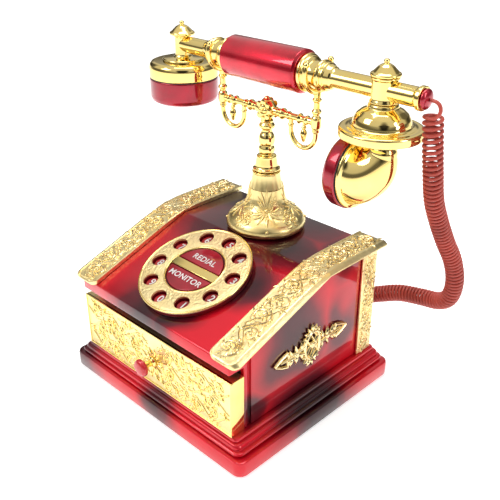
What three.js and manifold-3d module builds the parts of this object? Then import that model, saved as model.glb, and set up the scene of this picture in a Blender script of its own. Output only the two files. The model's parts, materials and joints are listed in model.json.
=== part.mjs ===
// Compact bedroom telephone: a footed box with a drawer, a push-button dial on its sloping top, and a
// pedestal cradle that carries a grip-and-spindle handset on two forks.
// Millimetres, +Z up, -Y is the drawer side. The origin is the middle of the plinth's footprint on the table.
import * as THREE from "three";
import { mergeVertices } from "three/addons/utils/BufferGeometryUtils.js";
import Module from "manifold-3d";

const wasm = await Module();
wasm.setup();

// ---------- driving dimensions ----------
const GAP = 0.3; // clearance left between touching pieces

const PLINTH = { halfX: 80, halfY: 70.6, cornerRadius: 6, bottom: 1, slabTop: 11.3, top: 20.5, wall: 2.5 };
const FELT = { halfX: 74, halfY: 64.6, height: 0.7 };

const CASING = { halfX: 67.1, frontY: -65.6, postY: -54.4, backY: 61.3, wall: 2.5 };
const GROOVE = { frontY: -52, backY: -48.8, depth: 1.5 }; // upright, in the side walls behind the drawer
const LIP = { bottom: 63, top: 70.5 }; // the strip above the drawer, where the slope starts
const ROOF = { frontY: 9, top: 96.8 }; // the flat part behind the slope
const SLOPE = Math.atan2(ROOF.top - LIP.top, ROOF.frontY - CASING.frontY);
const SHELF = { frontY: -54.1, backY: 53, bottom: 57.2, top: 59.2, thickness: 2, upstandTop: 66.6 };

const DRAWER = { halfX: 67.8, frontY: -65.2, thickness: 10.4, bottom: 20.8, top: 58 };
const TRAY = { halfX: 58, backY: 52, bottom: 22.3, top: 52.5, wall: 2 };
const KNOB = { z: 38.6, stemRadius: 2.1, headRadius: 5.7, headStart: 7.4, headEnd: 11.8 };

const BAND = { innerX: 52.4, outerX: 74, thickness: 3, frontOverhang: 1.8, backY: 63.6, cornerRadius: 5 };
const STRIP = { thickness: 2.2, frontY: 47.4, top: 96.4 };
const ORNAMENT = { y: 1.5, z: 51, thickness: 2.2 };

const DIAL = { alongSlope: 40.2, ringRadius: 35.8, openingRadius: 18.8, ringTop: 5, ringThickness: 1.3 };
const KEYS = { radius: 4.5, holeRadius: 4.85, circleRadius: 27.7, firstAngle: -60, pitchAngle: 36, top: 2.4 };
const MOON = { radius: 17.8, barHalfWidth: 3, clearance: 0.6, top: 4.8 };
const BEZEL = { flangeRadius: 35.4, bodyRadius: 32.9, top: 3.4, bottom: -3.6 };
const MEMBRANE = { radius: 31, top: -5.6, thickness: 1.2 };
const BOARD = { halfX: 34, halfY: 27, top: -7.2, thickness: 1.6 };

const CRADLE = { y: 33, boreRadius: 3.3, footTop: 124.2, columnTop: 135.2, armZ: 174, forkX: 38.5 };
const PLUNGER = { radius: 2.2, bottom: 62.7, collarBottom: 76.8, collarRadius: 4.3 };
const SPRING = { radius: 3.3, wireRadius: 0.45, bottom: 62.5, top: 76.4, turns: 5 };
const SWITCH = { halfX: 9, halfY: 6, top: 61.9 };
const RINGER = { x: -38, y: 30, radius: 12, height: 6 };

const AXIS_Z = 201.7; // height of the handset's spindle
const GRIP = { left: -29.3, right: 30, radius: 12.5, chamfer: 1.4 };
const COLLAR_RADIUS_AT_FORK = 7.5;
const FORK = {
  innerRadius: 9.8, rodRadius: 1.7, tipAngle: 24, loopRodRadius: 1.5, loopX: 19.5, loopBottom: 157,
};
const SPINDLE_RADIUS = 5.2;
const EAR = { x: -76, radius: 22.7, capBottom: 165, seam: 181, housingTop: 191.3 };
const MOUTH = {
  x: 83, spindleEnd: 107, endRadius: 6.4, brimRadius: 23, neckX: 85.2, neckRadius: 6.8, neckTop: 171.25,
  bellZ: 152.4, bellRadius: 18.4, rimRadius: 20.4, rimWidth: 2.4, capRadius: 21.3, faceX: 59.8, seamX: 69.3,
};

const CORD = { wireRadius: 1, coilRadius: 5.6 };
// Hand-placed routes: from the handset's end cap down to the coil, the coil's centreline, and on to the
// rear wall.
const LEAD_TOP = [[110.7, 33, 201.7], [112.9, 33, 201.7], [115.7, 32.9, 200.5], [116.9, 32.6, 197.7],
  [116.6, 32.5, 196.3]];
const COIL = [
  [111, 36, 194.5], [112, 37, 180], [112.3, 40.5, 162], [111.2, 47, 144], [111.5, 54.5, 129],
  [112.8, 62.5, 114], [115.2, 70, 99.5], [116.2, 74.2, 85], [113.2, 77, 71.5], [105, 79.6, 63.6],
  [91, 81, 60], [76, 81, 56.5], [62, 79.6, 50.5], [48, 77.6, 44], [35, 75.6, 39.2], [24, 74.4, 36.6],
];
const LEAD_BOTTOM = [
  [23.6, 74.3, 36.5], [19, 74, 35.7], [14.5, 73.4, 35], [10.6, 71.8, 34.3], [8.6, 69.4, 34], [8, 66.6, 34],
];
const GROMMET = { x: 8, z: 34, holeRadius: 3.4 };
const JACK = { x: -30, z: 34, halfX: 7, halfZ: 6 };

// ---------- finishes ----------
const finish = (color, roughness, metalness) =>
  new THREE.MeshStandardMaterial({ color, roughness, metalness });
const LACQUER = finish(0x9c1420, 0.12, 0);
const CORD_RED = finish(0x96271f, 0.45, 0);
const GOLD = finish(0xe8c877, 0.25, 1);
const SATIN_GOLD = finish(0xe6cf92, 0.5, 1);
const BLACK = finish(0x141212, 0.6, 0);
const RUBBER = finish(0x3a3634, 0.9, 0);
const BOARD_GREEN = finish(0x2d5a3a, 0.6, 0);
const STEEL = finish(0xb8b8b8, 0.3, 1);

// ---------- shape helpers ----------
const X = new THREE.Vector3(1, 0, 0);
const Y = new THREE.Vector3(0, 1, 0);
const Z = new THREE.Vector3(0, 0, 1);
const radians = THREE.MathUtils.degToRad;

function toSolid(geometry) {
  const bare = new THREE.BufferGeometry().setAttribute("position", geometry.getAttribute("position"));
  bare.setIndex(geometry.index);
  const merged = mergeVertices(bare, 1e-3);
  const vertProperties = merged.attributes.position.array;
  const triVerts = new Uint32Array(merged.index.array);
  return new wasm.Manifold(new wasm.Mesh({ numProp: 3, vertProperties, triVerts }));
}

function toGeometry(solid) {
  const { vertProperties, triVerts } = solid.getMesh();
  const geometry = new THREE.BufferGeometry();
  geometry.setAttribute("position", new THREE.BufferAttribute(new Float32Array(vertProperties), 3));
  geometry.setIndex(new THREE.BufferAttribute(new Uint32Array(triVerts), 1));
  geometry.computeVertexNormals();
  return geometry;
}

function join(...geometries) {
  return toGeometry(geometries.map(toSolid).reduce((sum, solid) => sum.add(solid)));
}

function intersect(geometry, other) {
  return toGeometry(toSolid(geometry).intersect(toSolid(other)));
}

function cut(geometry, ...tools) {
  return toGeometry(tools.map(toSolid).reduce((rest, tool) => rest.subtract(tool), toSolid(geometry)));
}

function outline(points) {
  return new THREE.Shape(points.map(([u, v]) => new THREE.Vector2(u, v)));
}

function roundedRectangle(halfU, halfV, radius) {
  const u = halfU - radius;
  const v = halfV - radius;
  const shape = new THREE.Shape();
  shape.absarc(u, v, radius, 0, Math.PI / 2);
  shape.absarc(-u, v, radius, Math.PI / 2, Math.PI);
  shape.absarc(-u, -v, radius, Math.PI, 1.5 * Math.PI);
  shape.absarc(u, -v, radius, 1.5 * Math.PI, 2 * Math.PI);
  shape.closePath();
  return shape;
}

// A flat outline raised from z0 to z1.
function plate(shape, z0, z1) {
  const options = { depth: z1 - z0, bevelEnabled: false, curveSegments: 3 };
  return new THREE.ExtrudeGeometry(shape, options).translate(0, 0, z0);
}

// An outline drawn in Y and Z, raised along X from x0 to x1.
function prismAlongX(shape, x0, x1) {
  return plate(shape, x0, x1).applyMatrix4(new THREE.Matrix4().makeBasis(Y, Z, X));
}

function block(x0, x1, y0, y1, z0, z1) {
  const box = new THREE.BoxGeometry(x1 - x0, y1 - y0, z1 - z0);
  return box.translate((x0 + x1) / 2, (y0 + y1) / 2, (z0 + z1) / 2);
}

// A profile of [radius, height] pairs, turned about Z; it starts and ends on the axis or closes on itself.
function turned(profile, sides = 20) {
  const points = profile.map(([radius, height]) => new THREE.Vector2(radius, height));
  return new THREE.LatheGeometry(points, sides).rotateX(Math.PI / 2);
}

const turnedAlongX = (profile, sides) => turned(profile, sides).rotateY(Math.PI / 2);
const turnedAlongMinusY = (profile, sides) => turned(profile, sides).rotateX(Math.PI / 2);
const disc = (radius, z0, z1, sides) => turned([[0, z0], [radius, z0], [radius, z1], [0, z1]], sides);

function ringProfile(bore, outside) {
  const first = [bore, outside[0][1]];
  const last = [bore, outside[outside.length - 1][1]];
  return [first, ...outside, last, first];
}

// A round rod of constant radius along a curve.
function rod(curve, radius, sides, steps) {
  const section = [];
  for (let i = 0; i < sides; i++) {
    const angle = (2 * Math.PI * i) / sides;
    section.push([radius * Math.cos(angle), radius * Math.sin(angle)]);
  }
  return new THREE.ExtrudeGeometry(outline(section), { steps, extrudePath: curve, bevelEnabled: false });
}

// A circle drawn in X and Z, leaning by an angle from level: its points as [x, y, z].
function circleRing([x, z], radius, lean, sides = 20) {
  return Array.from({ length: sides }, (_, i) => {
    const angle = (2 * Math.PI * i) / sides;
    const across = radius * Math.cos(angle);
    return [x + across * Math.cos(lean), radius * Math.sin(angle), z - across * Math.sin(lean)];
  });
}

// Rings of equally many points joined into one closed body, its two ends flat.
function skin(rings) {
  const count = rings[0].length;
  const faces = [];
  for (let i = 0; i + 1 < rings.length; i++) {
    for (let j = 0; j < count; j++) {
      const next = (j + 1) % count;
      const [a, b] = [i * count + j, i * count + next];
      faces.push(a, b, b + count, a, b + count, a + count);
    }
  }
  const last = (rings.length - 1) * count;
  for (let j = 1; j + 1 < count; j++) faces.push(0, j + 1, j, last, last + j, last + j + 1);
  const geometry = new THREE.BufferGeometry();
  geometry.setAttribute("position", new THREE.Float32BufferAttribute(rings.flat(2), 3));
  geometry.setIndex(faces);
  return geometry;
}

const smoothCurve = (points) =>
  new THREE.CatmullRomCurve3(points.map((point) => new THREE.Vector3(...point)), false, "centripetal");

function piece(name, geometry, material, parent = phone) {
  const mesh = new THREE.Mesh(geometry, material);
  mesh.name = name;
  parent.add(mesh);
  return mesh;
}

const SIDES = [["left", -1], ["right", 1]];
const phone = new THREE.Group();

// ---------- plinth ----------
function plinth() {
  const steps = [
    [PLINTH.halfX, PLINTH.halfY, PLINTH.bottom, PLINTH.slabTop],
    [PLINTH.halfX - 3, PLINTH.halfY - 2.6, PLINTH.slabTop - 0.5, 14.4],
    [PLINTH.halfX - 6, PLINTH.halfY - 4.6, 13.9, 17.4],
    [PLINTH.halfX - 9, PLINTH.halfY - 5.6, 16.9, PLINTH.top],
  ];
  const tiers = steps.map(([halfX, halfY, z0, z1]) =>
    plate(roundedRectangle(halfX, halfY, PLINTH.cornerRadius), z0, z1));
  const hollowLow = block(-77.5, 77.5, -68.1, 68.1, 0, 10);
  const hollowHigh = block(-68, 68, -61.5, 61.5, 9.5, PLINTH.top - PLINTH.wall);
  const guides = SIDES.map(([, side]) =>
    block(60 * side - 1.4, 60 * side + 1.4, -50, 54, PLINTH.top - 0.5, 30));
  return join(cut(join(...tiers), hollowLow, hollowHigh), ...guides);
}

piece("base_plinth", plinth(), LACQUER);
piece("bottom_cover", block(-77.2, 77.2, -67.8, 67.8, PLINTH.bottom, PLINTH.bottom + 2), BLACK);
const feltShape = roundedRectangle(FELT.halfX, FELT.halfY, PLINTH.cornerRadius);
piece("base_felt", plate(feltShape, 0, FELT.height), RUBBER);

// ---------- casing ----------
function underSlope(y, depth) {
  return LIP.top + (y - CASING.frontY) * Math.tan(SLOPE) - depth / Math.cos(SLOPE);
}

// A frame on the slope's surface: its origin lies that far up the slope, its Z stands square to the panel.
function slopeFrame(distance) {
  const frame = new THREE.Group();
  const y = CASING.frontY + distance * Math.cos(SLOPE);
  frame.position.set(0, y, LIP.top + distance * Math.sin(SLOPE));
  frame.rotation.x = SLOPE;
  frame.updateMatrix();
  return frame;
}

const dialFrame = slopeFrame(DIAL.alongSlope);

function casing() {
  const { halfX, frontY, postY, backY, wall } = CASING;
  const bottom = PLINTH.top + GAP;
  const outside = outline([
    [postY, bottom], [backY, bottom], [backY, ROOF.top], [ROOF.frontY, ROOF.top],
    [frontY, LIP.top], [frontY, LIP.bottom], [postY, LIP.bottom],
  ]);
  const innerTop = ROOF.top - wall;
  const innerKinkY = frontY + (innerTop - underSlope(frontY, wall)) / Math.tan(SLOPE);
  const innerFrontY = frontY + wall;
  const inside = outline([
    [postY - 1, bottom - 1], [backY - wall, bottom - 1], [backY - wall, innerTop], [innerKinkY, innerTop],
    [innerFrontY, underSlope(innerFrontY, wall)], [innerFrontY, LIP.bottom + wall],
    [postY - 1, LIP.bottom + wall],
  ]);
  const shell = prismAlongX(outside, -halfX, halfX);
  const hollow = prismAlongX(inside, -halfX + wall, halfX - wall);
  const dialHole = disc(BEZEL.bodyRadius + GAP, -8, 8, 32).applyMatrix4(dialFrame.matrix);
  const plungerHole = disc(CRADLE.boreRadius, 90, 100, 16).translate(0, CRADLE.y, 0);
  const { holeRadius } = GROMMET;
  const cordHole = turnedAlongMinusY([[0, -8], [holeRadius, -8], [holeRadius, 8], [0, 8]], 16);
  cordHole.translate(GROMMET.x, backY, GROMMET.z);
  const jackHole = block(
    JACK.x - JACK.halfX, JACK.x + JACK.halfX, backY - 8, backY + 8, JACK.z - JACK.halfZ, JACK.z + JACK.halfZ);
  const grooves = SIDES.map(([, side]) =>
    block(halfX - GROOVE.depth, halfX + 1, GROOVE.frontY, GROOVE.backY, bottom - 1, 72)
      .rotateZ(side > 0 ? 0 : Math.PI)
      .translate(0, side > 0 ? 0 : GROOVE.frontY + GROOVE.backY, 0));
  return cut(shell, hollow, dialHole, plungerHole, cordHole, jackHole, ...grooves);
}

piece("upper_casing", casing(), LACQUER);
const shelfHalfX = CASING.halfX - CASING.wall - GAP;
const upstandBackY = SHELF.frontY + SHELF.thickness;
piece("inner_shelf", join(
  block(-shelfHalfX, shelfHalfX, SHELF.frontY, SHELF.backY, SHELF.bottom, SHELF.top),
  block(-shelfHalfX, shelfHalfX, SHELF.frontY, upstandBackY, SHELF.bottom, SHELF.upstandTop)), BLACK);

// ---------- drawer ----------
const drawerBackY = DRAWER.frontY + DRAWER.thickness;

function drawerTray() {
  const { halfX, backY, bottom, top, wall } = TRAY;
  const frontY = drawerBackY + GAP;
  const outside = block(-halfX, halfX, frontY, backY, bottom, top);
  const inside = block(-halfX + wall, halfX - wall, frontY + wall, backY - wall, bottom + wall, top + 1);
  return cut(outside, inside);
}

function drawerKnob() {
  const { stemRadius, headRadius, headStart, headEnd } = KNOB;
  const stem = [[0, GAP], [stemRadius, GAP], [stemRadius, headStart]];
  const head = [[headRadius - 0.9, headStart], [headRadius, headStart + 1.4],
    [headRadius - 1.3, headEnd - 0.9], [2, headEnd], [0, headEnd + 0.1]];
  const profile = [...stem, ...head];
  return turnedAlongMinusY(profile, 20).translate(0, DRAWER.frontY, KNOB.z);
}

piece("drawer_front",
  block(-DRAWER.halfX, DRAWER.halfX, DRAWER.frontY, drawerBackY, DRAWER.bottom, DRAWER.top), SATIN_GOLD);
piece("drawer_tray", drawerTray(), BLACK);
piece("drawer_knob", drawerKnob(), LACQUER);

// ---------- gold trim on the casing ----------
// A point in Y and Z that lies a given height above the casing's top line.
function bandLine(height) {
  const back = [BAND.backY, ROOF.top + height];
  const kink = [ROOF.frontY - height * Math.tan(SLOPE / 2), ROOF.top + height];
  const run = -BAND.frontOverhang;
  const front = [
    CASING.frontY + run * Math.cos(SLOPE) - height * Math.sin(SLOPE),
    LIP.top + run * Math.sin(SLOPE) + height * Math.cos(SLOPE),
  ];
  return [front, kink, back];
}

function trimBand() {
  const { innerX, outerX, thickness, backY, cornerRadius } = BAND;
  const profile = outline([...bandLine(GAP), ...bandLine(GAP + thickness).reverse()]);
  const frontY = bandLine(GAP + thickness)[0][0];
  const plan = plate(roundedRectangle((outerX - innerX) / 2, (backY - frontY) / 2, cornerRadius), 0, 120);
  plan.translate((innerX + outerX) / 2, (backY + frontY) / 2, 0);
  return intersect(prismAlongX(profile, innerX, outerX), plan);
}

function sideOrnament() {
  const upperEdge = [[-33, 0], [-27, 4.6], [-17, 5.6], [-12.5, 4.2], [-7, 9], [0, 15], [7, 9], [12.5, 4.2],
    [17, 5.6], [27, 4.6]];
  const lowerEdge = upperEdge.map(([u, v]) => [-u, -v]);
  const shape = outline([...upperEdge, ...lowerEdge].reverse());
  const pierce = (corners, [u, v], side) =>
    shape.holes.push(new THREE.Path(corners.map(([a, b]) => new THREE.Vector2(side * (u + a), v + b))));
  for (const side of [-1, 1]) pierce([[-4.5, -2.4], [4.5, 0], [-4.5, 2.4]], [24.5, 0], side);
  const latticeHoles = [[0, 8], [5.5, 2.8], [-5.5, 2.8], [5.5, -2.8], [-5.5, -2.8], [0, -8]];
  for (const place of latticeHoles) pierce([[-2, 0], [0, -2], [2, 0], [0, 2]], place, 1);
  return shape;
}

for (const [name, side] of SIDES) {
  const band = trimBand();
  piece("trim_band_" + name, side < 0 ? band.translate(-BAND.innerX - BAND.outerX, 0, 0) : band, SATIN_GOLD);

  const nearX = side * (CASING.halfX + GAP);
  const farX = side * (CASING.halfX + GAP + STRIP.thickness);
  const stripX = [Math.min(nearX, farX), Math.max(nearX, farX)];
  piece("corner_strip_" + name,
    block(...stripX, STRIP.frontY, CASING.backY, PLINTH.top + GAP, STRIP.top), SATIN_GOLD);
  const ornament = prismAlongX(sideOrnament(), ...stripX);
  piece("side_ornament_" + name, ornament.translate(0, ORNAMENT.y, ORNAMENT.z), SATIN_GOLD);
}

// ---------- dial: drawn in the slope's own frame ----------
phone.add(dialFrame);

const keyAngle = (position) => radians(KEYS.firstAngle + position * KEYS.pitchAngle);
const KEY_NAMES = [1, 2, 3, 4, 5, 6, 7, 8, 9, 0];

function atKey(geometry, position) {
  const angle = keyAngle(position);
  return geometry.translate(KEYS.circleRadius * Math.cos(angle), KEYS.circleRadius * Math.sin(angle), 0);
}

const keyHoles = (z0, z1) =>
  KEY_NAMES.map((_, position) => atKey(disc(KEYS.holeRadius, z0, z1, 14), position));

// A half-moon standing above the bar (side 1) or below it (side -1).
function moonShape(radius, flatDistance, side) {
  const reach = Math.acos(flatDistance / radius);
  const shape = new THREE.Shape();
  shape.absarc(0, 0, radius, (side * Math.PI) / 2 - reach, (side * Math.PI) / 2 + reach);
  shape.closePath();
  return shape;
}

const MOONS = [["redial_button", 1], ["monitor_button", -1]];
const moonHoles = (z0, z1) => MOONS.map(([, side]) =>
  plate(moonShape(MOON.radius + GAP, MOON.barHalfWidth + MOON.clearance - GAP, side), z0, z1));

function dialBezel() {
  const { flangeRadius, bodyRadius, top, bottom } = BEZEL;
  const body = turned([[0, bottom], [bodyRadius, bottom], [bodyRadius, GAP], [flangeRadius, GAP],
    [flangeRadius, top], [0, top]], 32);
  return cut(body, ...keyHoles(bottom - 1, top + 1), ...moonHoles(bottom - 1, top + 1));
}

function dialRing() {
  const { ringRadius, openingRadius, ringTop, ringThickness } = DIAL;
  const bottom = ringTop - ringThickness;
  const annulus = turned(ringProfile(openingRadius,
    [[ringRadius, bottom], [ringRadius, ringTop - 0.5], [ringRadius - 0.5, ringTop]]), 36);
  const barHalfX = openingRadius + 1;
  const bar = block(-barHalfX, barHalfX, -MOON.barHalfWidth, MOON.barHalfWidth, bottom, ringTop);
  return cut(join(annulus, bar), ...keyHoles(bottom - 1, ringTop + 1));
}

piece("dial_bezel", dialBezel(), LACQUER, dialFrame);
piece("dial_ring", dialRing(), SATIN_GOLD, dialFrame);
KEY_NAMES.forEach((digit, position) => {
  const key = turned([[0, BEZEL.bottom], [KEYS.radius, BEZEL.bottom], [KEYS.radius, KEYS.top - 0.7],
    [KEYS.radius - 0.8, KEYS.top], [0, KEYS.top]], 12);
  piece("key_" + digit, atKey(key, position), LACQUER, dialFrame);
});
for (const [name, side] of MOONS) {
  const shape = moonShape(MOON.radius, MOON.barHalfWidth + MOON.clearance, side);
  piece(name, plate(shape, BEZEL.bottom, MOON.top), LACQUER, dialFrame);
}
piece("key_membrane",
  disc(MEMBRANE.radius, MEMBRANE.top - MEMBRANE.thickness, MEMBRANE.top, 24), RUBBER, dialFrame);
piece("main_board",
  block(-BOARD.halfX, BOARD.halfX, -BOARD.halfY, BOARD.halfY, BOARD.top - BOARD.thickness, BOARD.top),
  BOARD_GREEN, dialFrame);

// ---------- pedestal, cradle and hook switch ----------
const cradle = new THREE.Group();
cradle.position.y = CRADLE.y;
phone.add(cradle);

const footBottom = ROOF.top + GAP;
const footOutside = [[21.5, footBottom], [25.2, 98.7], [25.7, 100.6], [25, 103.2], [23.3, 105.4], [20.5, 107.4],
  [17.2, 109.4], [14.3, 111.8], [12.5, 114.6], [11.5, 118], [11, 121], [10.6, CRADLE.footTop]];
piece("pedestal_foot", turned(ringProfile(CRADLE.boreRadius, footOutside), 24), GOLD, cradle);
const columnOutside = [[10.2, CRADLE.footTop + GAP], [9.2, 129], [8.7, 133], [8.7, CRADLE.columnTop]];
piece("pedestal_column", turned(ringProfile(CRADLE.boreRadius, columnOutside), 16), GOLD, cradle);

function cradleArms() {
  const columnBottom = CRADLE.columnTop + 0.4;
  const cup = [[0, columnBottom], [8.4, columnBottom], [8.4, 137.4], [6.8, 138.4], [6.2, 144.6],
    [4.6, 145.4]];
  const barrels = [[5, 147], [5, 149.6], [4.3, 151.6], [4.9, 153.4], [4.9, 156.8], [4, 159]];
  const hub = [[3.4, 161.4], [4.9, 163.4], [4.9, 165], [3.6, 166.6], [5.6, 169.6], [6.6, 174],
    [5.6, 178.4], [3.4, 180.6], [0, 182.4]];
  const column = turned([...cup, ...barrels, ...hub], 14);
  const half = [[2.2, 6], [2.2, 12], [3.4, 14], [2.2, 16], [2.2, 24], [3.2, 26.5], [2.2, 29], [2.2, 36]];
  const mirrored = half.map(([radius, x]) => [radius, -x]).reverse();
  const arms = turnedAlongX([[0, -36], ...mirrored, ...half, [0, 36]], 10).translate(0, 0, CRADLE.armZ);
  const pendants = SIDES.map(([, side]) =>
    turned([[0, 160.6], [1.6, 161.6], [2.3, 163.6], [1, 168], [1, CRADLE.armZ], [0, CRADLE.armZ]], 8)
      .translate(side * 29.5, 0, 0));
  return join(column, arms, ...pendants);
}

// A fork: a C-shaped saddle for the collar, its post, and the loop that hangs below the arm.
function cradleFork(side) {
  const { innerRadius, rodRadius, tipAngle, loopRodRadius, loopX, loopBottom } = FORK;
  const saddleRadius = innerRadius + rodRadius;
  const saddleZ = AXIS_Z - COLLAR_RADIUS_AT_FORK - GAP + innerRadius;
  const saddlePoints = [];
  const sweep = 180 + 2 * tipAngle;
  for (let i = 0; i <= 16; i++) {
    const angle = radians(tipAngle - (sweep * i) / 16);
    saddlePoints.push([0, saddleRadius * Math.cos(angle), saddleZ + saddleRadius * Math.sin(angle)]);
  }
  const saddle = rod(smoothCurve(saddlePoints), rodRadius, 8, 16).translate(side * CRADLE.forkX, 0, 0);
  const post = turned([[0, 168], [2, 168], [2, 177], [3, 179], [2, 181], [2, saddleZ - saddleRadius],
    [0, saddleZ - saddleRadius]], 10).translate(side * CRADLE.forkX, 0, 0);
  const middleX = (loopX + CRADLE.forkX) / 2;
  const loopRadius = CRADLE.forkX - middleX;
  const turnZ = loopBottom + loopRadius;
  const loopPoints = [[CRADLE.forkX, 0, 172], [CRADLE.forkX, 0, 168.5]];
  for (let i = 0; i <= 8; i++) {
    const angle = (Math.PI * i) / 8;
    loopPoints.push([middleX + loopRadius * Math.cos(angle), 0, turnZ - loopRadius * Math.sin(angle)]);
  }
  loopPoints.push([loopX, 0, 171.3]);
  const loop = rod(smoothCurve(loopPoints.map(([x, y, z]) => [side * x, y, z])), loopRodRadius, 6, 14);
  return join(saddle, post, loop);
}

piece("cradle_arms", cradleArms(), GOLD, cradle);
for (const [name, side] of SIDES) piece("cradle_fork_" + name, cradleFork(side), GOLD, cradle);

function springWinding() {
  const points = [];
  const steps = SPRING.turns * 8;
  const rise = SPRING.top - SPRING.bottom - 2 * SPRING.wireRadius;
  for (let i = 0; i <= steps; i++) {
    const angle = (2 * Math.PI * SPRING.turns * i) / steps;
    const height = SPRING.bottom + SPRING.wireRadius + (rise * i) / steps;
    points.push([SPRING.radius * Math.cos(angle), SPRING.radius * Math.sin(angle), height]);
  }
  return rod(smoothCurve(points), SPRING.wireRadius, 4, steps);
}

const { radius: plungerRadius, bottom: plungerBottom, collarBottom, collarRadius } = PLUNGER;
const plungerTop = CRADLE.columnTop + 0.1;
const plungerProfile = [
  [0, plungerBottom], [plungerRadius, plungerBottom], [plungerRadius, collarBottom],
  [collarRadius, collarBottom], [collarRadius, collarBottom + 1.6], [plungerRadius, collarBottom + 1.6],
  [plungerRadius, plungerTop], [0, plungerTop],
];
piece("hook_plunger", turned(plungerProfile, 12), STEEL, cradle);
piece("hook_spring", springWinding(), STEEL, cradle);
const onShelf = SHELF.top + GAP;
piece("hook_switch",
  block(-SWITCH.halfX, SWITCH.halfX, -SWITCH.halfY, SWITCH.halfY, onShelf, SWITCH.top), BLACK, cradle);
const ringer = disc(RINGER.radius, onShelf, onShelf + RINGER.height, 20);
piece("ringer", ringer.translate(RINGER.x, RINGER.y, 0), BLACK);

// ---------- handset: drawn about its own spindle ----------
const handset = new THREE.Group();
handset.position.set(0, CRADLE.y, AXIS_Z);
phone.add(handset);
const fromSpindle = (z) => z - AXIS_Z;

function grip() {
  const { left, right, radius, chamfer } = GRIP;
  const edge = radius - chamfer;
  return turnedAlongX([[0, left], [edge, left], [radius, left + chamfer], [radius, right - chamfer],
    [edge, right], [0, right]], 28);
}

// The ringed collar beside the grip and the spindle beyond it, for the right-hand side.
function spindleProfile(start, end) {
  return [[0, start], [10.4, start], [10.9, start + 1], [10.9, start + 2.6], [8.9, start + 4.4],
    [COLLAR_RADIUS_AT_FORK, start + 5.6], [COLLAR_RADIUS_AT_FORK, start + 11], [9, start + 12.6],
    [8.4, start + 15], [7, start + 17], [6.6, start + 18.6], [SPINDLE_RADIUS, start + 21],
    [SPINDLE_RADIUS, end - 2.2]];
}

function mouthpieceArm() {
  const { x, spindleEnd, endRadius } = MOUTH;
  const end = [[endRadius, spindleEnd - 1.8], [endRadius, spindleEnd], [0, spindleEnd]];
  const spindle = turnedAlongX([...spindleProfile(GRIP.right + GAP, spindleEnd), ...end], 16);
  const post = turned([[0, -6.4], [7.7, -6.4], [7.7, -5], [7, -4], [7, 5.4], [7.6, 6], [7.6, 7], [0, 7]], 16);
  return join(spindle, post.translate(x, 0, 0));
}

function earpieceArm() {
  const start = -GRIP.left + GAP;
  const end = -EAR.x;
  const spindle = turnedAlongX([...spindleProfile(start, end), [4.6, end], [0, end]], 16);
  const discTop = fromSpindle(193.8);
  const post = turned([[0, discTop - 2.2], [13.5, discTop - 2.2], [13.5, discTop - 0.6], [12.8, discTop],
    [5.8, discTop + 0.3], [5, discTop + 1.4], [5, 5.6], [0, 5.6]], 18);
  return join(spindle.rotateZ(Math.PI), post.translate(EAR.x, 0, 0));
}

const finial = (bottom, flange, tip) => turned([[0, bottom], [flange, bottom], [flange, bottom + 1.7],
  [flange * 0.84, bottom + 2.3], [2, tip - 2.6], [1.2, tip - 2], [1.5, tip - 0.9], [0, tip]], 14);

piece("handset_grip", grip(), LACQUER, handset);
piece("earpiece_arm", earpieceArm(), GOLD, handset);
piece("mouthpiece_arm", mouthpieceArm(), GOLD, handset);
piece("earpiece_finial", finial(5.9, 8.2, 14.6).translate(EAR.x, 0, 0), GOLD, handset);
piece("mouthpiece_finial", finial(7.3, 8.2, 16.2).translate(MOUTH.x, 0, 0), GOLD, handset);

function earpieceHousing() {
  const { radius, seam, housingTop } = EAR;
  const bottom = fromSpindle(seam) + GAP / 2;
  const top = fromSpindle(housingTop);
  const outside = turned([[0, bottom], [radius, bottom], [radius, top - 3.4], [radius - 1.2, top - 1.2],
    [radius - 3.6, top], [0, top]], 26);
  return cut(outside, disc(radius - 3, bottom - 1, top - 3, 18)).translate(EAR.x, 0, 0);
}

function earpieceCap() {
  const { radius, seam, capBottom } = EAR;
  const top = fromSpindle(seam) - GAP / 2;
  const bottom = fromSpindle(capBottom);
  const outside = turned([[0, bottom + 1.2], [13, bottom + 0.6], [radius - 4, bottom],
    [radius - 1, bottom + 1.4], [radius, bottom + 4.5], [radius, top], [0, top]], 26);
  const hollow = disc(radius - 3, bottom + 4, top + 1, 18);
  const soundHoles = [disc(1.2, bottom - 1, bottom + 5, 6)];
  for (let i = 0; i < 6; i++) {
    const angle = (Math.PI * i) / 3;
    const hole = disc(1.2, bottom - 1, bottom + 5, 6);
    soundHoles.push(hole.translate(7 * Math.cos(angle), 7 * Math.sin(angle), 0));
  }
  return cut(outside, hollow, ...soundHoles).translate(EAR.x, 0, 0);
}

piece("earpiece_housing", earpieceHousing(), GOLD, handset);
piece("earpiece_cap", earpieceCap(), LACQUER, handset);
piece("earpiece_speaker",
  disc(16, fromSpindle(181.6), fromSpindle(187.4), 20).translate(EAR.x, 0, 0), BLACK, handset);

function mouthpieceCanopy() {
  const top = -6.7;
  const { x, brimRadius } = MOUTH;
  const neck = [[0, -30.2], [5.6, -30.2], [5.6, -26.6], [9, -25.6]];
  const brim = [[brimRadius - 1, -25], [brimRadius, -23.8], [brimRadius, -20.4], [brimRadius - 1.2, -19.4]];
  const dome = [[15.6, -18.6], [15.6, -17], [14.2, -13.4], [11, -10.2], [7.9, -8.4], [7.9, top], [0, top]];
  return turned([...neck, ...brim, ...dome], 24).translate(x, 0, 0);
}

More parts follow.
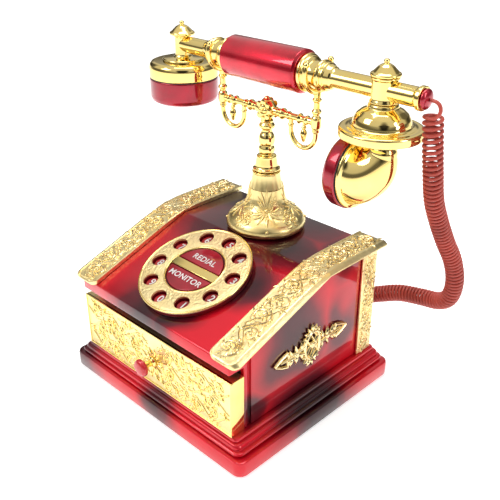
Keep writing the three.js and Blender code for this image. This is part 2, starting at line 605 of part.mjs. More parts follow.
// A horn that swings from the upright neck to the bell's open end: each of its rings turns further about a
// pivot in the inner corner, and reaches further out from it.
function mouthpieceElbow() {
  const { bellRadius, rimRadius, rimWidth, seamX, bellZ, neckX, neckRadius, neckTop } = MOUTH;
  const mouth = seamX + GAP / 2;
  const start = mouth + rimWidth;
  const pivotZ = bellZ + bellRadius + 0.2;
  const rings = [circleRing([neckX, neckTop], neckRadius, 0)];
  for (let i = 0; i <= 9; i++) {
    const share = i / 9;
    const angle = (share * Math.PI) / 2;
    const near = (neckX - neckRadius - start) * (1 - share) + 0.2;
    const far = near + 2 * neckRadius + 2 * (bellRadius - neckRadius) * share ** 1.15;
    const away = (near + far) / 2;
    const centre = [start + away * Math.cos(angle), pivotZ - away * Math.sin(angle)];
    rings.push(circleRing(centre, (far - near) / 2, angle));
  }
  const rim = turnedAlongX([[0, mouth], [rimRadius - 0.6, mouth], [rimRadius, mouth + 0.6],
    [rimRadius, start - 0.4], [bellRadius + 0.6, start + 0.4], [0, start + 0.4]], 22);
  const hollow = turnedAlongX([[0, mouth - 1], [bellRadius - 2.4, mouth - 1], [bellRadius - 5.6, mouth + 4.4],
    [0, mouth + 4.4]], 16);
  const horn = join(skin(rings.reverse()), rim.translate(0, 0, bellZ));
  return cut(horn, hollow.translate(0, 0, bellZ)).translate(0, 0, -AXIS_Z);
}

function mouthpieceCap() {
  const { faceX, seamX, capRadius: radius } = MOUTH;
  const end = seamX - GAP / 2;
  const outside = turnedAlongX([[0, faceX + 0.8], [radius - 5, faceX], [radius - 1.4, faceX + 0.8],
    [radius, faceX + 2.6], [radius, end], [0, end]], 22);
  const hollowStart = faceX + 4;
  const hollow = turnedAlongX([[0, hollowStart], [radius - 3, hollowStart], [radius - 3, end + 1],
    [0, end + 1]], 16);
  const soundHoles = [];
  for (let i = 0; i < 6; i++) {
    const angle = (Math.PI * i) / 3;
    const hole = turnedAlongX([[0, faceX - 1], [1, faceX - 1], [1, faceX + 5], [0, faceX + 5]], 6);
    soundHoles.push(hole.translate(0, 6 * Math.cos(angle), 6 * Math.sin(angle)));
  }
  return cut(outside, hollow, ...soundHoles).translate(0, 0, fromSpindle(MOUTH.bellZ));
}

piece("mouthpiece_canopy", mouthpieceCanopy(), GOLD, handset);
piece("mouthpiece_elbow", mouthpieceElbow(), GOLD, handset);
piece("mouthpiece_cap", mouthpieceCap(), LACQUER, handset);
piece("microphone", turnedAlongX([[0, MOUTH.seamX + 1], [10, MOUTH.seamX + 1], [10, MOUTH.seamX + 4],
  [0, MOUTH.seamX + 4]], 16).translate(0, 0, fromSpindle(MOUTH.bellZ)), BLACK, handset);
const capStart = MOUTH.spindleEnd + GAP;
piece("cord_end_cap", turnedAlongX([[0, capStart], [5.4, capStart], [5.4, capStart + 1.2],
  [4.2, capStart + 2.5], [0, capStart + 3]], 16), LACQUER, handset);

// ---------- cords and rear sockets ----------
piece("cord_lead_top", rod(smoothCurve(LEAD_TOP), CORD.wireRadius, 8, 10), CORD_RED);
piece("cord_coil", rod(smoothCurve(COIL), CORD.coilRadius, 8, 30), CORD_RED);
piece("cord_lead_bottom", rod(smoothCurve(LEAD_BOTTOM), CORD.wireRadius, 8, 8), CORD_RED);

function cordGrommet() {
  const body = turnedAlongMinusY([[0, 3.6], [2.4, 3.6], [2.4, 0], [0, 0]].reverse(), 12);
  const shank = turnedAlongMinusY([[0, -5.2], [3, -5.2], [3, -GAP], [5, -GAP], [5, 0.4], [0, 0.4]], 16);
  return join(body, shank).rotateZ(Math.PI);
}

piece("cord_grommet", cordGrommet().translate(GROMMET.x, CASING.backY + GAP + 0.3, GROMMET.z), RUBBER);

function lineJack() {
  const reach = GAP;
  const { halfX, halfZ } = JACK;
  const flange = block(-halfX - 2, halfX + 2, reach, reach + 1.6, -halfZ - 2, halfZ + 2);
  const body = block(-halfX + reach, halfX - reach, -5.5, reach + 0.5, -halfZ + reach, halfZ - reach);
  const socket = block(-4.8, 4.8, -4, reach + 3, -3.6, 3.6);
  return cut(join(flange, body), socket);
}

piece("line_jack", lineJack().translate(JACK.x, CASING.backY, JACK.z), BLACK);

export default phone;
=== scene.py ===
"""The finished look of the compact bedroom telephone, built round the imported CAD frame.

Shapes are drawn in millimetres in the part's frame (+Z up, -Y the drawer side), and make() turns them
into metres."""
import json
import math
import random

import bmesh
import bpy
import numpy as np
from mathutils import Matrix, Vector


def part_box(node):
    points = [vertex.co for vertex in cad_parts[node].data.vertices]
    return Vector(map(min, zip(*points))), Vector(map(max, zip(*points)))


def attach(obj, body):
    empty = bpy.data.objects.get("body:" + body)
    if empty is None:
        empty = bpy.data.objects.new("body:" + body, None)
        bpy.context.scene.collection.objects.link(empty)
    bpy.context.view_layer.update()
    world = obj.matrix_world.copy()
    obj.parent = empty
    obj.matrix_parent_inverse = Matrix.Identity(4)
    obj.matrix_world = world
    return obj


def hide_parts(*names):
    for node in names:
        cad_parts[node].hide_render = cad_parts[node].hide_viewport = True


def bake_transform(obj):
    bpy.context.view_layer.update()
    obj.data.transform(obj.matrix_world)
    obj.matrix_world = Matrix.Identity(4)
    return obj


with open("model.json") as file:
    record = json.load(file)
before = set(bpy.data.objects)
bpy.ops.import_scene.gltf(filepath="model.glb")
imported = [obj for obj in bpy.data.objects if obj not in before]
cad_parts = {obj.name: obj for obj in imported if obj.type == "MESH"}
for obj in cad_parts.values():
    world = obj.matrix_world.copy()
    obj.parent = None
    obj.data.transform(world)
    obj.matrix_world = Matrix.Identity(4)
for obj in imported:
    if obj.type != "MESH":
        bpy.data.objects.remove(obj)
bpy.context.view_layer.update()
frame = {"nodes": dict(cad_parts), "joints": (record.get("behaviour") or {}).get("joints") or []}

MM = 0.001
TURN = 2 * math.pi


# ---------------------------------------------------------------- what the frame says
def box(node):
    low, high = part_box(node)
    return np.array(low) / MM, np.array(high) / MM


def middle(node):
    low, high = box(node)
    return (low + high) / 2


JOINTS = {joint["name"]: joint for joint in frame["joints"]}
PRESS = np.array(JOINTS["press_1"]["axis"])
SLOPE = math.atan2(PRESS[1], -PRESS[2])
SLOPE_UP = np.array([0, math.cos(SLOPE), math.sin(SLOPE)])
SLOPE_OUT = -PRESS / np.linalg.norm(PRESS)
RING_MIDDLE = 4.35  # height of the dial ring's middle above the sloping panel
DIAL_ORIGIN = middle("dial_ring") - RING_MIDDLE * SLOPE_OUT


def on_dial(x, y, z):
    """A point of the sloping panel's own frame: across, up the slope, and out of the panel."""
    return DIAL_ORIGIN + np.array([1, 0, 0]) * x + SLOPE_UP * y + SLOPE_OUT * z


SIDES = (("right", 1), ("left", -1))
CASING_LOW, CASING_HIGH = box("upper_casing")
PLINTH_LOW, PLINTH_HIGH = box("base_plinth")
CRADLE_Y = middle("pedestal_foot")[1]
AXIS_Z = middle("handset_grip")[2]


# ---------------------------------------------------------------- camera
def camera():
    """A view down at the telephone from beyond its right front corner."""
    place = Vector((0.2965, -0.2823, 0.3039))
    target = Vector((0.04748, -0.02985, 0.11885))
    data = bpy.data.cameras.new("camera")
    data.lens = 52.97
    data.sensor_width = 36
    data.clip_start = 0.01
    seen = bpy.data.objects.new("camera", data)
    bpy.context.scene.collection.objects.link(seen)
    seen.location = place
    seen.rotation_euler = (target - place).to_track_quat("-Z", "Y").to_euler()
    bpy.context.scene.camera = seen


camera()


# ---------------------------------------------------------------- shapes
class Shape:
    """Vertices in millimetres and the faces over them, gathered part by part."""

    def __init__(self):
        self.vertices = []
        self.faces = []

    def add(self, vertices, faces):
        first = len(self.vertices)
        self.vertices.extend([tuple(float(c) for c in v) for v in vertices])
        self.faces.extend([tuple(first + i for i in face) for face in faces])
        return self

    def merge(self, other):
        return self.add(other.vertices, other.faces)

    def moved(self, offset):
        self.vertices = [tuple(np.array(v) + np.array(offset)) for v in self.vertices]
        return self

    def mapped(self, place):
        """The same faces with each vertex put through place(x, y, z)."""
        self.vertices = [tuple(place(*v)) for v in self.vertices]
        return self


def skin(rings, closed_ends=True, ring_of_rings=False):
    """Rings of equally many points joined by quads, capped at both ends unless the last meets the first."""
    count = len(rings[0])
    vertices = [point for ring in rings for point in ring]
    faces = []
    last = len(rings) if ring_of_rings else len(rings) - 1
    for i in range(last):
        a = i * count
        b = ((i + 1) % len(rings)) * count
        for j in range(count):
            k = (j + 1) % count
            faces.append((a + j, a + k, b + k, b + j))
    if closed_ends and not ring_of_rings:
        faces.append(tuple(range(count))[::-1])
        faces.append(tuple(range((len(rings) - 1) * count, len(rings) * count)))
    return Shape().add(vertices, faces)


def softened(points, radius, steps=3, closed=False):
    """A line of points with each corner rounded by a short curve."""
    points = [np.array(p, float) for p in points]
    count = len(points)
    out = [] if closed else [points[0]]
    for i in range(0 if closed else 1, count if closed else count - 1):
        corner = points[i]
        back = points[i - 1] - corner
        ahead = points[(i + 1) % count] - corner
        reach = min(radius, 0.45 * np.linalg.norm(back), 0.45 * np.linalg.norm(ahead))
        start = corner + back / np.linalg.norm(back) * reach
        end = corner + ahead / np.linalg.norm(ahead) * reach
        for t in np.linspace(0, 1, steps + 1):
            out.append((1 - t) ** 2 * start + 2 * t * (1 - t) * corner + t ** 2 * end)
    return out if closed else out + [points[-1]]


def turned(profile, sides=64, soft=0.35, steps=3):
    """A profile of (radius, height) turned about Z, from the axis to the axis, its corners rounded."""
    line = softened(profile, soft, steps)
    angles = np.arange(sides) * TURN / sides
    vertices = []
    faces = []
    rows = []
    for radius, height in line:
        if radius < 1e-4:
            rows.append([len(vertices)])
            vertices.append((0, 0, height))
        else:
            rows.append(list(range(len(vertices), len(vertices) + sides)))
            vertices.extend((radius * math.cos(a), radius * math.sin(a), height) for a in angles)
    for low, high in zip(rows, rows[1:]):
        for j in range(sides):
            k = (j + 1) % sides
            if len(low) == 1 and len(high) == 1:
                continue
            if len(low) == 1:
                faces.append((low[0], high[k], high[j]))
            elif len(high) == 1:
                faces.append((low[j], low[k], high[0]))
            else:
                faces.append((low[j], low[k], high[k], high[j]))
    return Shape().add(vertices, faces)


def plug(radius, low, high, sides):
    """A plain round plug between two heights, with sharp rims."""
    return turned([(0, low), (radius, low), (radius, high), (0, high)], sides, 0)


def turned_ring(profile, sides=64, soft=0.3, steps=3):
    """A closed profile of (radius, height) turned about Z into a ring."""
    line = softened(profile, soft, steps, closed=True)
    rings = []
    for a in np.arange(sides) * TURN / sides:
        rings.append([(r * math.cos(a), r * math.sin(a), z) for r, z in line])
    return skin(rings, ring_of_rings=True)


def along_x(shape):
    return shape.mapped(lambda x, y, z: (z, y, -x))


def along_minus_y(shape):
    return shape.mapped(lambda x, y, z: (x, -z, y))


def frames_along(points):
    """Two directions square to the line at each of its points, carried along without twist."""
    points = np.array(points, float)
    tangents = np.gradient(points, axis=0)
    tangents /= np.linalg.norm(tangents, axis=1)[:, None]
    guess = np.array([0, 0, 1.0]) if abs(tangents[0][2]) < 0.9 else np.array([1.0, 0, 0])
    side = np.cross(tangents[0], guess)
    side /= np.linalg.norm(side)
    sides = []
    for tangent in tangents:
        side = side - tangent * side.dot(tangent)
        side /= np.linalg.norm(side)
        sides.append(side)
    sides = np.array(sides)
    return points, sides, np.cross(tangents, sides)


def tube(points, radii, sides=12):
    """A round rod along a line; radii is one number, or one for each point."""
    points, across, up = frames_along(points)
    radii = np.broadcast_to(radii, len(points))
    angles = np.arange(sides) * TURN / sides
    rings = []
    for p, a, u, r in zip(points, across, up, radii):
        rings.append([p + r * (math.cos(t) * a + math.sin(t) * u) for t in angles])
    return skin(rings)


def smooth_line(points, count):
    """A smooth curve through the points, with count points spaced evenly along it."""
    points = np.array(points, float)
    ends = [2 * points[0] - points[1], *points, 2 * points[-1] - points[-2]]
    fine = []
    for p0, p1, p2, p3 in zip(ends, ends[1:], ends[2:], ends[3:]):
        for t in np.linspace(0, 1, 40, endpoint=False):
            fine.append(0.5 * ((2 * p1) + (p2 - p0) * t + (2 * p0 - 5 * p1 + 4 * p2 - p3) * t ** 2
                               + (3 * p1 - p0 - 3 * p2 + p3) * t ** 3))
    fine.append(points[-1])
    fine = np.array(fine)
    run = np.concatenate([[0], np.cumsum(np.linalg.norm(np.diff(fine, axis=0), axis=1))])
    wanted = np.linspace(0, run[-1], count)
    return np.stack([np.interp(wanted, run, fine[:, i]) for i in range(3)], axis=1)


def arc(centre, radius, start, end, count, place):
    """Points of a circle from start to end degrees, each put through place(u, v)."""
    angles = np.radians(np.linspace(start, end, count))
    return [place(centre[0] + radius * math.cos(a), centre[1] + radius * math.sin(a)) for a in angles]


def rectangle_ring(half_x, half_y, radius, z, steps=5):
    ring = []
    for quarter, (sx, sy) in enumerate([(1, 1), (-1, 1), (-1, -1), (1, -1)]):
        for i in range(steps + 1):
            a = math.pi / 2 * (quarter + i / steps)
            ring.append((sx * (half_x - radius) + radius * math.cos(a),
                         sy * (half_y - radius) + radius * math.sin(a), z))
    return ring


def inset(outline, distance):
    """A closed outline drawn in by a distance; it runs anticlockwise."""
    points = np.array(outline, float)
    back = points - np.roll(points, 1, axis=0)
    ahead = np.roll(points, -1, axis=0) - points
    normals = []
    for edge in (back, ahead):
        unit = edge / np.linalg.norm(edge, axis=1)[:, None]
        normals.append(np.stack([-unit[:, 1], unit[:, 0]], axis=1))
    total = normals[0] + normals[1]
    share = 2 / np.maximum((total ** 2).sum(axis=1), 0.4)
    return points + total * share[:, None] * distance


def prism(outline, start, end, bevel, place, steps=3):
    """A closed anticlockwise outline raised from start to end with rounded rims, by place(u, v, w)."""
    rings = []
    levels = [(start + bevel * (1 - math.cos(math.pi / 2 * i / steps)),
               bevel * (1 - math.sin(math.pi / 2 * i / steps))) for i in range(steps + 1)]
    levels += [(end - (level - start), drawn_in) for level, drawn_in in reversed(levels)]
    for level, drawn_in in levels:
        rings.append([place(u, v, level) for u, v in inset(outline, drawn_in)])
    return skin(rings)


def slab(low, high, bevel=0.5, corner=None):
    """A box with rounded edges."""
    low = np.array(low, float)
    high = np.array(high, float)
    centre = (low + high) / 2
    half = (high - low) / 2
    radius = corner or bevel * 1.5
    ring = [(x, y) for x, y, _ in rectangle_ring(half[0], half[1], radius, 0, 4)]
    return prism(ring, low[2], high[2], bevel, lambda u, v, w: (centre[0] + u, centre[1] + v, w))


# ---------------------------------------------------------------- pieces
def link(name, mesh):
    made = bpy.data.objects.new(name, mesh)
    bpy.context.scene.collection.objects.link(made)
    return made


def outward(mesh):
    """Joins doubled vertices and turns every face outwards."""
    work = bmesh.new()
    work.from_mesh(mesh)
    bmesh.ops.remove_doubles(work, verts=work.verts, dist=1e-7)
    bmesh.ops.recalc_face_normals(work, faces=work.faces)
    work.to_mesh(mesh)
    work.free()


def make(name, shape, material, sharp=38):
    """A mesh object in metres, smooth except along edges sharper than the given angle."""
    mesh = bpy.data.meshes.new(name)
    mesh.from_pydata([tuple(c * MM for c in v) for v in shape.vertices], [], shape.faces)
    outward(mesh)
    mesh.polygons.foreach_set("use_smooth", [True] * len(mesh.polygons))
    mesh.set_sharp_from_angle(angle=math.radians(sharp))
    mesh.materials.append(material)
    return link(name, mesh)


def piece(name, shape, material, body, stands_for=(), sharp=38):
    """A finished piece that rides on a body and stands for the CAD nodes it replaces."""
    made = make(name, shape, material, sharp)
    if body:
        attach(made, body)
    if stands_for:
        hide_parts(*stands_for)
    return made


def carve(target, *shapes):
    """Cuts closed shapes out of an object's mesh."""
    for shape in shapes:
        tool = make("cutter", shape, target.data.materials[0])
        cut = target.modifiers.new("cut", "BOOLEAN")
        cut.object = tool
        cut.operation = "DIFFERENCE"
        cut.solver = "EXACT"
        bpy.context.view_layer.update()
        seen = target.evaluated_get(bpy.context.evaluated_depsgraph_get())
        mesh = bpy.data.meshes.new_from_object(seen)
        target.modifiers.clear()
        target.data = mesh
        bpy.data.objects.remove(tool)
    target.data.polygons.foreach_set("use_smooth", [True] * len(target.data.polygons))
    target.data.set_sharp_from_angle(angle=math.radians(30))


# ---------------------------------------------------------------- materials
def start_material(name):
    material = bpy.data.materials.new(name)
    material.use_nodes = True
    nodes = material.node_tree.nodes
    return material, nodes, material.node_tree.links, nodes["Principled BSDF"]


def object_point(nodes):
    return nodes.new("ShaderNodeTexCoord").outputs["Object"]


def noise(nodes, links, scale, detail=2.0, point=None):
    texture = nodes.new("ShaderNodeTexNoise")
    texture.inputs["Scale"].default_value = scale
    texture.inputs["Detail"].default_value = detail
    links.new(point or object_point(nodes), texture.inputs["Vector"])
    return texture.outputs["Fac"]


def ramp(nodes, links, value, stops):
    """A colour ramp of (place, colour) stops."""
    node = nodes.new("ShaderNodeValToRGB")
    elements = node.color_ramp.elements
    while len(elements) < len(stops):
        elements.new(0.5)
    for element, (place, colour) in zip(elements, stops):
        element.position = place
        element.color = (*colour, 1)
    links.new(value, node.inputs["Fac"])
    return node.outputs["Color"]


def maths(nodes, links, operation, first, second, clamp=False):
    node = nodes.new("ShaderNodeMath")
    node.operation = operation
    node.use_clamp = clamp
    for socket, value in zip(node.inputs, (first, second)):
        if isinstance(value, (int, float)):
            socket.default_value = value
        else:
            links.new(value, socket)
    return node.outputs[0]


def bump(nodes, links, bsdf, height, strength, distance):
    node = nodes.new("ShaderNodeBump")
    node.inputs["Strength"].default_value = strength
    node.inputs["Distance"].default_value = distance
    links.new(height, node.inputs["Height"])
    links.new(node.outputs["Normal"], bsdf.inputs["Normal"])


# Where the dark spray of the sunburst lacquer is heaviest: (x, y, z, radius) in millimetres.
DARK_SPOTS = [
    (-84, -70, 6, 34), (2, -72, 8, 26), (84, 2, 8, 40), (-40, 74, 30, 60), (20, 74, 90, 50),
    (-14, -58, 72, 30), (12, -50, 78, 20), (-8, 30, 97, 54), (28, 20, 97, 34), (60, 44, 97, 26),
    (67, -6, 66, 34), (67, 34, 52, 24), (67, -46, 34, 18), (-67, 10, 40, 50), (36, -14, 84, 20),
    (-50, 55, 97, 50),
]


def lacquer():
    """Clear-coated red lacquer, sprayed from bright red to nearly black in soft patches."""
    material, nodes, links, bsdf = start_material("sunburst_lacquer")
    point = object_point(nodes)
    drift = nodes.new("ShaderNodeTexNoise")
    drift.inputs["Scale"].default_value = 16
    drift.inputs["Detail"].default_value = 2
    links.new(point, drift.inputs["Vector"])
    wander = nodes.new("ShaderNodeVectorMath")
    wander.operation = "MULTIPLY_ADD"
    links.new(drift.outputs["Color"], wander.inputs[0])
    wander.inputs[1].default_value = (0.06, 0.06, 0.06)
    links.new(point, wander.inputs[2])
    shifted = nodes.new("ShaderNodeVectorMath")
    shifted.operation = "SUBTRACT"
    links.new(wander.outputs["Vector"], shifted.inputs[0])
    shifted.inputs[1].default_value = (0.03, 0.03, 0.03)
    dark = 0.0
    for x, y, z, radius in DARK_SPOTS:
        away = nodes.new("ShaderNodeVectorMath")
        away.operation = "DISTANCE"
        links.new(shifted.outputs["Vector"], away.inputs[0])
        away.inputs[1].default_value = (x * MM, y * MM, z * MM)
        fade = nodes.new("ShaderNodeMapRange")
        fade.interpolation_type = "SMOOTHSTEP"
        fade.inputs["From Min"].default_value = radius * MM * 1.25
        fade.inputs["From Max"].default_value = radius * MM * 0.15
        links.new(away.outputs["Value"], fade.inputs["Value"])
        dark = maths(nodes, links, "MAXIMUM", fade.outputs["Result"], dark)
    cloud = noise(nodes, links, 22, 3, point)
    soft = maths(nodes, links, "MULTIPLY_ADD", cloud, 0.6)
    soft.node.inputs[2].default_value = -0.3
    mixed = maths(nodes, links, "ADD", dark, soft, clamp=True)
    colour = ramp(nodes, links, mixed, [
        (0.0, (0.66, 0.006, 0.020)), (0.28, (0.44, 0.004, 0.015)), (0.6, (0.14, 0.003, 0.012)),
        (1.0, (0.03, 0.002, 0.006))])
    links.new(colour, bsdf.inputs["Base Color"])
    bsdf.inputs["Metallic"].default_value = 0.45
    bsdf.inputs["Roughness"].default_value = 0.33
    bsdf.inputs["Specular IOR Level"].default_value = 0.1
    bsdf.inputs["Coat Weight"].default_value = 1.0
    bsdf.inputs["Coat IOR"].default_value = 1.42
    bsdf.inputs["Coat Roughness"].default_value = 0.03
    bump(nodes, links, bsdf, noise(nodes, links, 160, 1, point), 0.05, 0.0006)
    return material


def plain_lacquer(name, colour, roughness=0.25, metallic=0.2):
    """Clear-coated moulded red with a little pearl depth."""
    material, nodes, links, bsdf = start_material(name)
    deep = tuple(c * 0.5 for c in colour)
    tint = ramp(nodes, links, noise(nodes, links, 45, 3), [(0.3, deep), (0.7, colour)])
    links.new(tint, bsdf.inputs["Base Color"])
    bsdf.inputs["Roughness"].default_value = roughness
    bsdf.inputs["Metallic"].default_value = metallic
    bsdf.inputs["Specular IOR Level"].default_value = 0.2
    bsdf.inputs["Coat Weight"].default_value = 1.0
    bsdf.inputs["Coat Roughness"].default_value = 0.05
    bump(nodes, links, bsdf, noise(nodes, links, 220, 1), 0.04, 0.0005)
    return material


def gold(name, colour, low, high, bump_scale=None, strength=0.3):
    """Electroplated gold whose roughness drifts between low and high."""
    material, nodes, links, bsdf = start_material(name)
    warm = (colour[0], colour[1] * 0.96, colour[2] * 0.86)
    tint = ramp(nodes, links, noise(nodes, links, 60, 2), [(0.35, warm), (0.65, colour)])
    links.new(tint, bsdf.inputs["Base Color"])
    bsdf.inputs["Metallic"].default_value = 1.0
    drift = nodes.new("ShaderNodeMapRange")
    drift.inputs["To Min"].default_value = low
    drift.inputs["To Max"].default_value = high
    links.new(noise(nodes, links, 90, 3), drift.inputs["Value"])
    links.new(drift.outputs["Result"], bsdf.inputs["Roughness"])
    if bump_scale:
        bump(nodes, links, bsdf, noise(nodes, links, bump_scale, 4), strength, 0.0006)
    return material


def moulded(name, colour, roughness, grain=400, strength=0.15):
    """Moulded plastic or rubber with a fine grain."""
    material, nodes, links, bsdf = start_material(name)
    darker = tuple(c * 0.7 for c in colour)
    tint = ramp(nodes, links, noise(nodes, links, 50, 3), [(0.3, darker), (0.7, colour)])
    links.new(tint, bsdf.inputs["Base Color"])
    bsdf.inputs["Roughness"].default_value = roughness
    bump(nodes, links, bsdf, noise(nodes, links, grain, 2), strength, 0.0003)
    return material


def board():
    """Green solder mask with paler copper runs under it."""
    material, nodes, links, bsdf = start_material("circuit_board")
    runs = nodes.new("ShaderNodeTexBrick")
    runs.inputs["Scale"].default_value = 120
    runs.inputs["Color1"].default_value = (0.02, 0.13, 0.05, 1)
    runs.inputs["Color2"].default_value = (0.03, 0.18, 0.07, 1)
    runs.inputs["Mortar"].default_value = (0.08, 0.28, 0.12, 1)
    links.new(object_point(nodes), runs.inputs["Vector"])
    links.new(runs.outputs["Color"], bsdf.inputs["Base Color"])
    bsdf.inputs["Roughness"].default_value = 0.4
    return material


LACQUER = lacquer()
GRIP_RED = plain_lacquer("grip_lacquer", (0.86, 0.012, 0.040), 0.24, 0.75)
CAP_RED = plain_lacquer("cap_lacquer", (0.50, 0.008, 0.030), 0.28, 0.7)
KEY_RED = plain_lacquer("key_red", (0.50, 0.008, 0.026), 0.3)
DEEP_RED = plain_lacquer("deep_red", (0.22, 0.004, 0.010), 0.3)
KNOB_RED = plain_lacquer("knob_red", (0.72, 0.02, 0.03), 0.4)
POLISHED = gold("polished_gold", (1.0, 0.785, 0.30), 0.04, 0.09)
SATIN = gold("satin_gold", (0.95, 0.775, 0.36), 0.26, 0.36)
RELIEF = gold("relief_gold", (0.95, 0.80, 0.46), 0.16, 0.28, 320, 0.1)
FIELD = gold("field_gold", (0.93, 0.775, 0.41), 0.24, 0.42, 420, 0.6)
SANDED = gold("sanded_gold", (0.95, 0.78, 0.41), 0.3, 0.46, 620, 0.9)
CORD = moulded("cord_jacket", (0.56, 0.075, 0.05), 0.42)
WHITE = moulded("white_print", (0.85, 0.82, 0.80), 0.5)
BLACK = moulded("black_moulding", (0.018, 0.017, 0.017), 0.5)
RUBBER = moulded("soft_rubber", (0.03, 0.028, 0.028), 0.8)
STEEL = gold("plated_steel", (0.62, 0.62, 0.64), 0.2, 0.35, 700, 0.2)
BOARD = board()


def soften_edges(made, width):
    """Rounds an object's edges by a width in millimetres, where they turn by more than 50 degrees."""
    edges = made.modifiers.new("edges", "BEVEL")
    edges.width = width * MM
    edges.segments = 2
    edges.limit_method = "ANGLE"
    edges.angle_limit = math.radians(50)


def use(material, *names):
    """Gives CAD nodes that stay showing their finish and softened edges."""
    for name in names:
        node = frame["nodes"][name]
        node.data.materials.clear()
        node.data.materials.append(material)
        soften_edges(node, 0.25)


# ---------------------------------------------------------------- studio
def dark_card(nodes, links, level, direction, inner, outer, darkness):
    """Darkens the surroundings round a direction, from full at inner degrees to none at outer degrees."""
    towards = Vector(direction).normalized()
    dot = nodes.new("ShaderNodeVectorMath")
    dot.operation = "DOT_PRODUCT"
    links.new(nodes.new("ShaderNodeTexCoord").outputs["Generated"], dot.inputs[0])
    dot.inputs[1].default_value = towards
    fade = nodes.new("ShaderNodeMapRange")
    fade.interpolation_type = "SMOOTHSTEP"
    fade.inputs["From Min"].default_value = math.cos(math.radians(outer))
    fade.inputs["From Max"].default_value = math.cos(math.radians(inner))
    fade.inputs["To Min"].default_value = 1.0
    fade.inputs["To Max"].default_value = darkness
    links.new(dot.outputs["Value"], fade.inputs["Value"])
    return maths(nodes, links, "MULTIPLY", level, fade.outputs["Result"])


def surroundings():
    """A light tent: bright above, with a darker belt at the horizon and three dark cards around it."""
    world = bpy.data.worlds.new("light_tent")
    world.use_nodes = True
    bpy.context.scene.world = world
    nodes = world.node_tree.nodes
    links = world.node_tree.links
    split = nodes.new("ShaderNodeSeparateXYZ")
    links.new(nodes.new("ShaderNodeTexCoord").outputs["Generated"], split.inputs[0])
    height = maths(nodes, links, "MULTIPLY_ADD", split.outputs["Z"], 0.5)
    height.node.inputs[2].default_value = 0.5
    grey = ramp(nodes, links, height, [
        (0.0, (0.5, 0.5, 0.5)), (0.49, (0.45, 0.45, 0.45)), (0.52, (0.12, 0.115, 0.11)),
        (0.60, (0.15, 0.145, 0.14)), (0.66, (0.58, 0.58, 0.58)), (1.0, (0.78, 0.78, 0.78))])
    level = dark_card(nodes, links, grey, (0.62, -0.63, 0.42), 13, 24, 0.06)
    level = dark_card(nodes, links, level, (-0.9, 0.1, 0.35), 10, 22, 0.15)
    level = dark_card(nodes, links, level, (0.2, 0.9, 0.45), 12, 26, 0.2)
    tent = nodes["Background"]
    links.new(level, tent.inputs["Strength"])
    tent.inputs["Color"].default_value = (1, 0.985, 0.96, 1)
    white = nodes.new("ShaderNodeBackground")
    white.inputs["Color"].default_value = (1, 1, 1, 1)
    white.inputs["Strength"].default_value = 1.1
    mixed = nodes.new("ShaderNodeMixShader")
    links.new(nodes.new("ShaderNodeLightPath").outputs["Is Camera Ray"], mixed.inputs["Fac"])
    links.new(tent.outputs[0], mixed.inputs[1])
    links.new(white.outputs[0], mixed.inputs[2])
    links.new(mixed.outputs[0], nodes["World Output"].inputs["Surface"])
    bpy.context.scene.view_settings.view_transform = "Standard"


def softbox(name, place, size, power, target=(0, 0, 0.1)):
    """A rectangular lamp at a place, facing the target."""
    data = bpy.data.lights.new(name, "AREA")
    data.shape = "RECTANGLE"
    data.size, data.size_y = size
    data.energy = power
    lamp = link(name, data)
    lamp.location = place
    lamp.rotation_euler = (Vector(target) - Vector(place)).to_track_quat("-Z", "Y").to_euler()


def floor():
    """A wide pale sheet, slightly lit from within so that its far edge melts into the surroundings."""
    material, nodes, links, bsdf = start_material("pale_floor")
    patches = noise(nodes, links, 6, 1)
    tint = ramp(nodes, links, patches, [(0.3, (0.9, 0.9, 0.9)), (0.7, (0.94, 0.94, 0.94))])
    links.new(tint, bsdf.inputs["Base Color"])
    bsdf.inputs["Roughness"].default_value = 0.9
    bsdf.inputs["Emission Color"].default_value = (1, 1, 1, 1)
    bsdf.inputs["Emission Strength"].default_value = 0.55
    half = 4000
    sheet = Shape().add([(-half, -half, 0), (half, -half, 0), (half, half, 0), (-half, half, 0)],
                        [(0, 1, 2, 3)])
    make("floor", sheet, material)


surroundings()
softbox("key_light", (-0.45, -0.75, 0.95), (0.5, 0.5), 5)
softbox("top_light", (-0.1, 0.15, 1.2), (0.7, 0.5), 5)
softbox("side_light", (1.1, 0.2, 0.6), (0.3, 0.6), 3)
floor()


# ---------------------------------------------------------------- curly cord
WIRE = 1.0
HELIX = {"radius": 4.6, "pitch": 2.42, "top_pitch": 3.2, "steps": 16, "unwinding": 34}
# The route of the CAD cord, in millimetres: a lead from the handset's end cap with a small loop in it, the
# coil's middle line, and a lead on to the grommet.
LEAD_TOP = (110.7, 33, 201.7)
LOOP = {"x": 112.9, "z": 197.4, "radius": 4.3}
COIL = [
    (111, 36, 194.5), (112, 37, 180), (112.3, 40.5, 162), (111.2, 47, 144), (111.5, 54.5, 129),
    (112.8, 62.5, 114), (115.2, 70, 99.5), (116.2, 74.2, 85), (113.2, 77, 71.5), (105, 79.6, 63.6),
    (91, 81, 60), (76, 81, 56.5), (62, 79.6, 50.5), (48, 77.6, 44), (35, 75.6, 39.2), (24, 74.4, 36.6),
]
LEAD_BOTTOM = [
    (23.6, 74.3, 36.5), (19, 74, 35.7), (14.5, 73.4, 35), (10.6, 71.8, 34.3), (8.6, 69.4, 34),
    (8, 66.6, 34),
]


def eased(line, passes):
    """The line with its sharp bends smoothed out and its ends kept."""
    for _ in range(passes):
        line[1:-1] += 0.25 * (line[:-2] + line[2:] - 2 * line[1:-1])
    return line


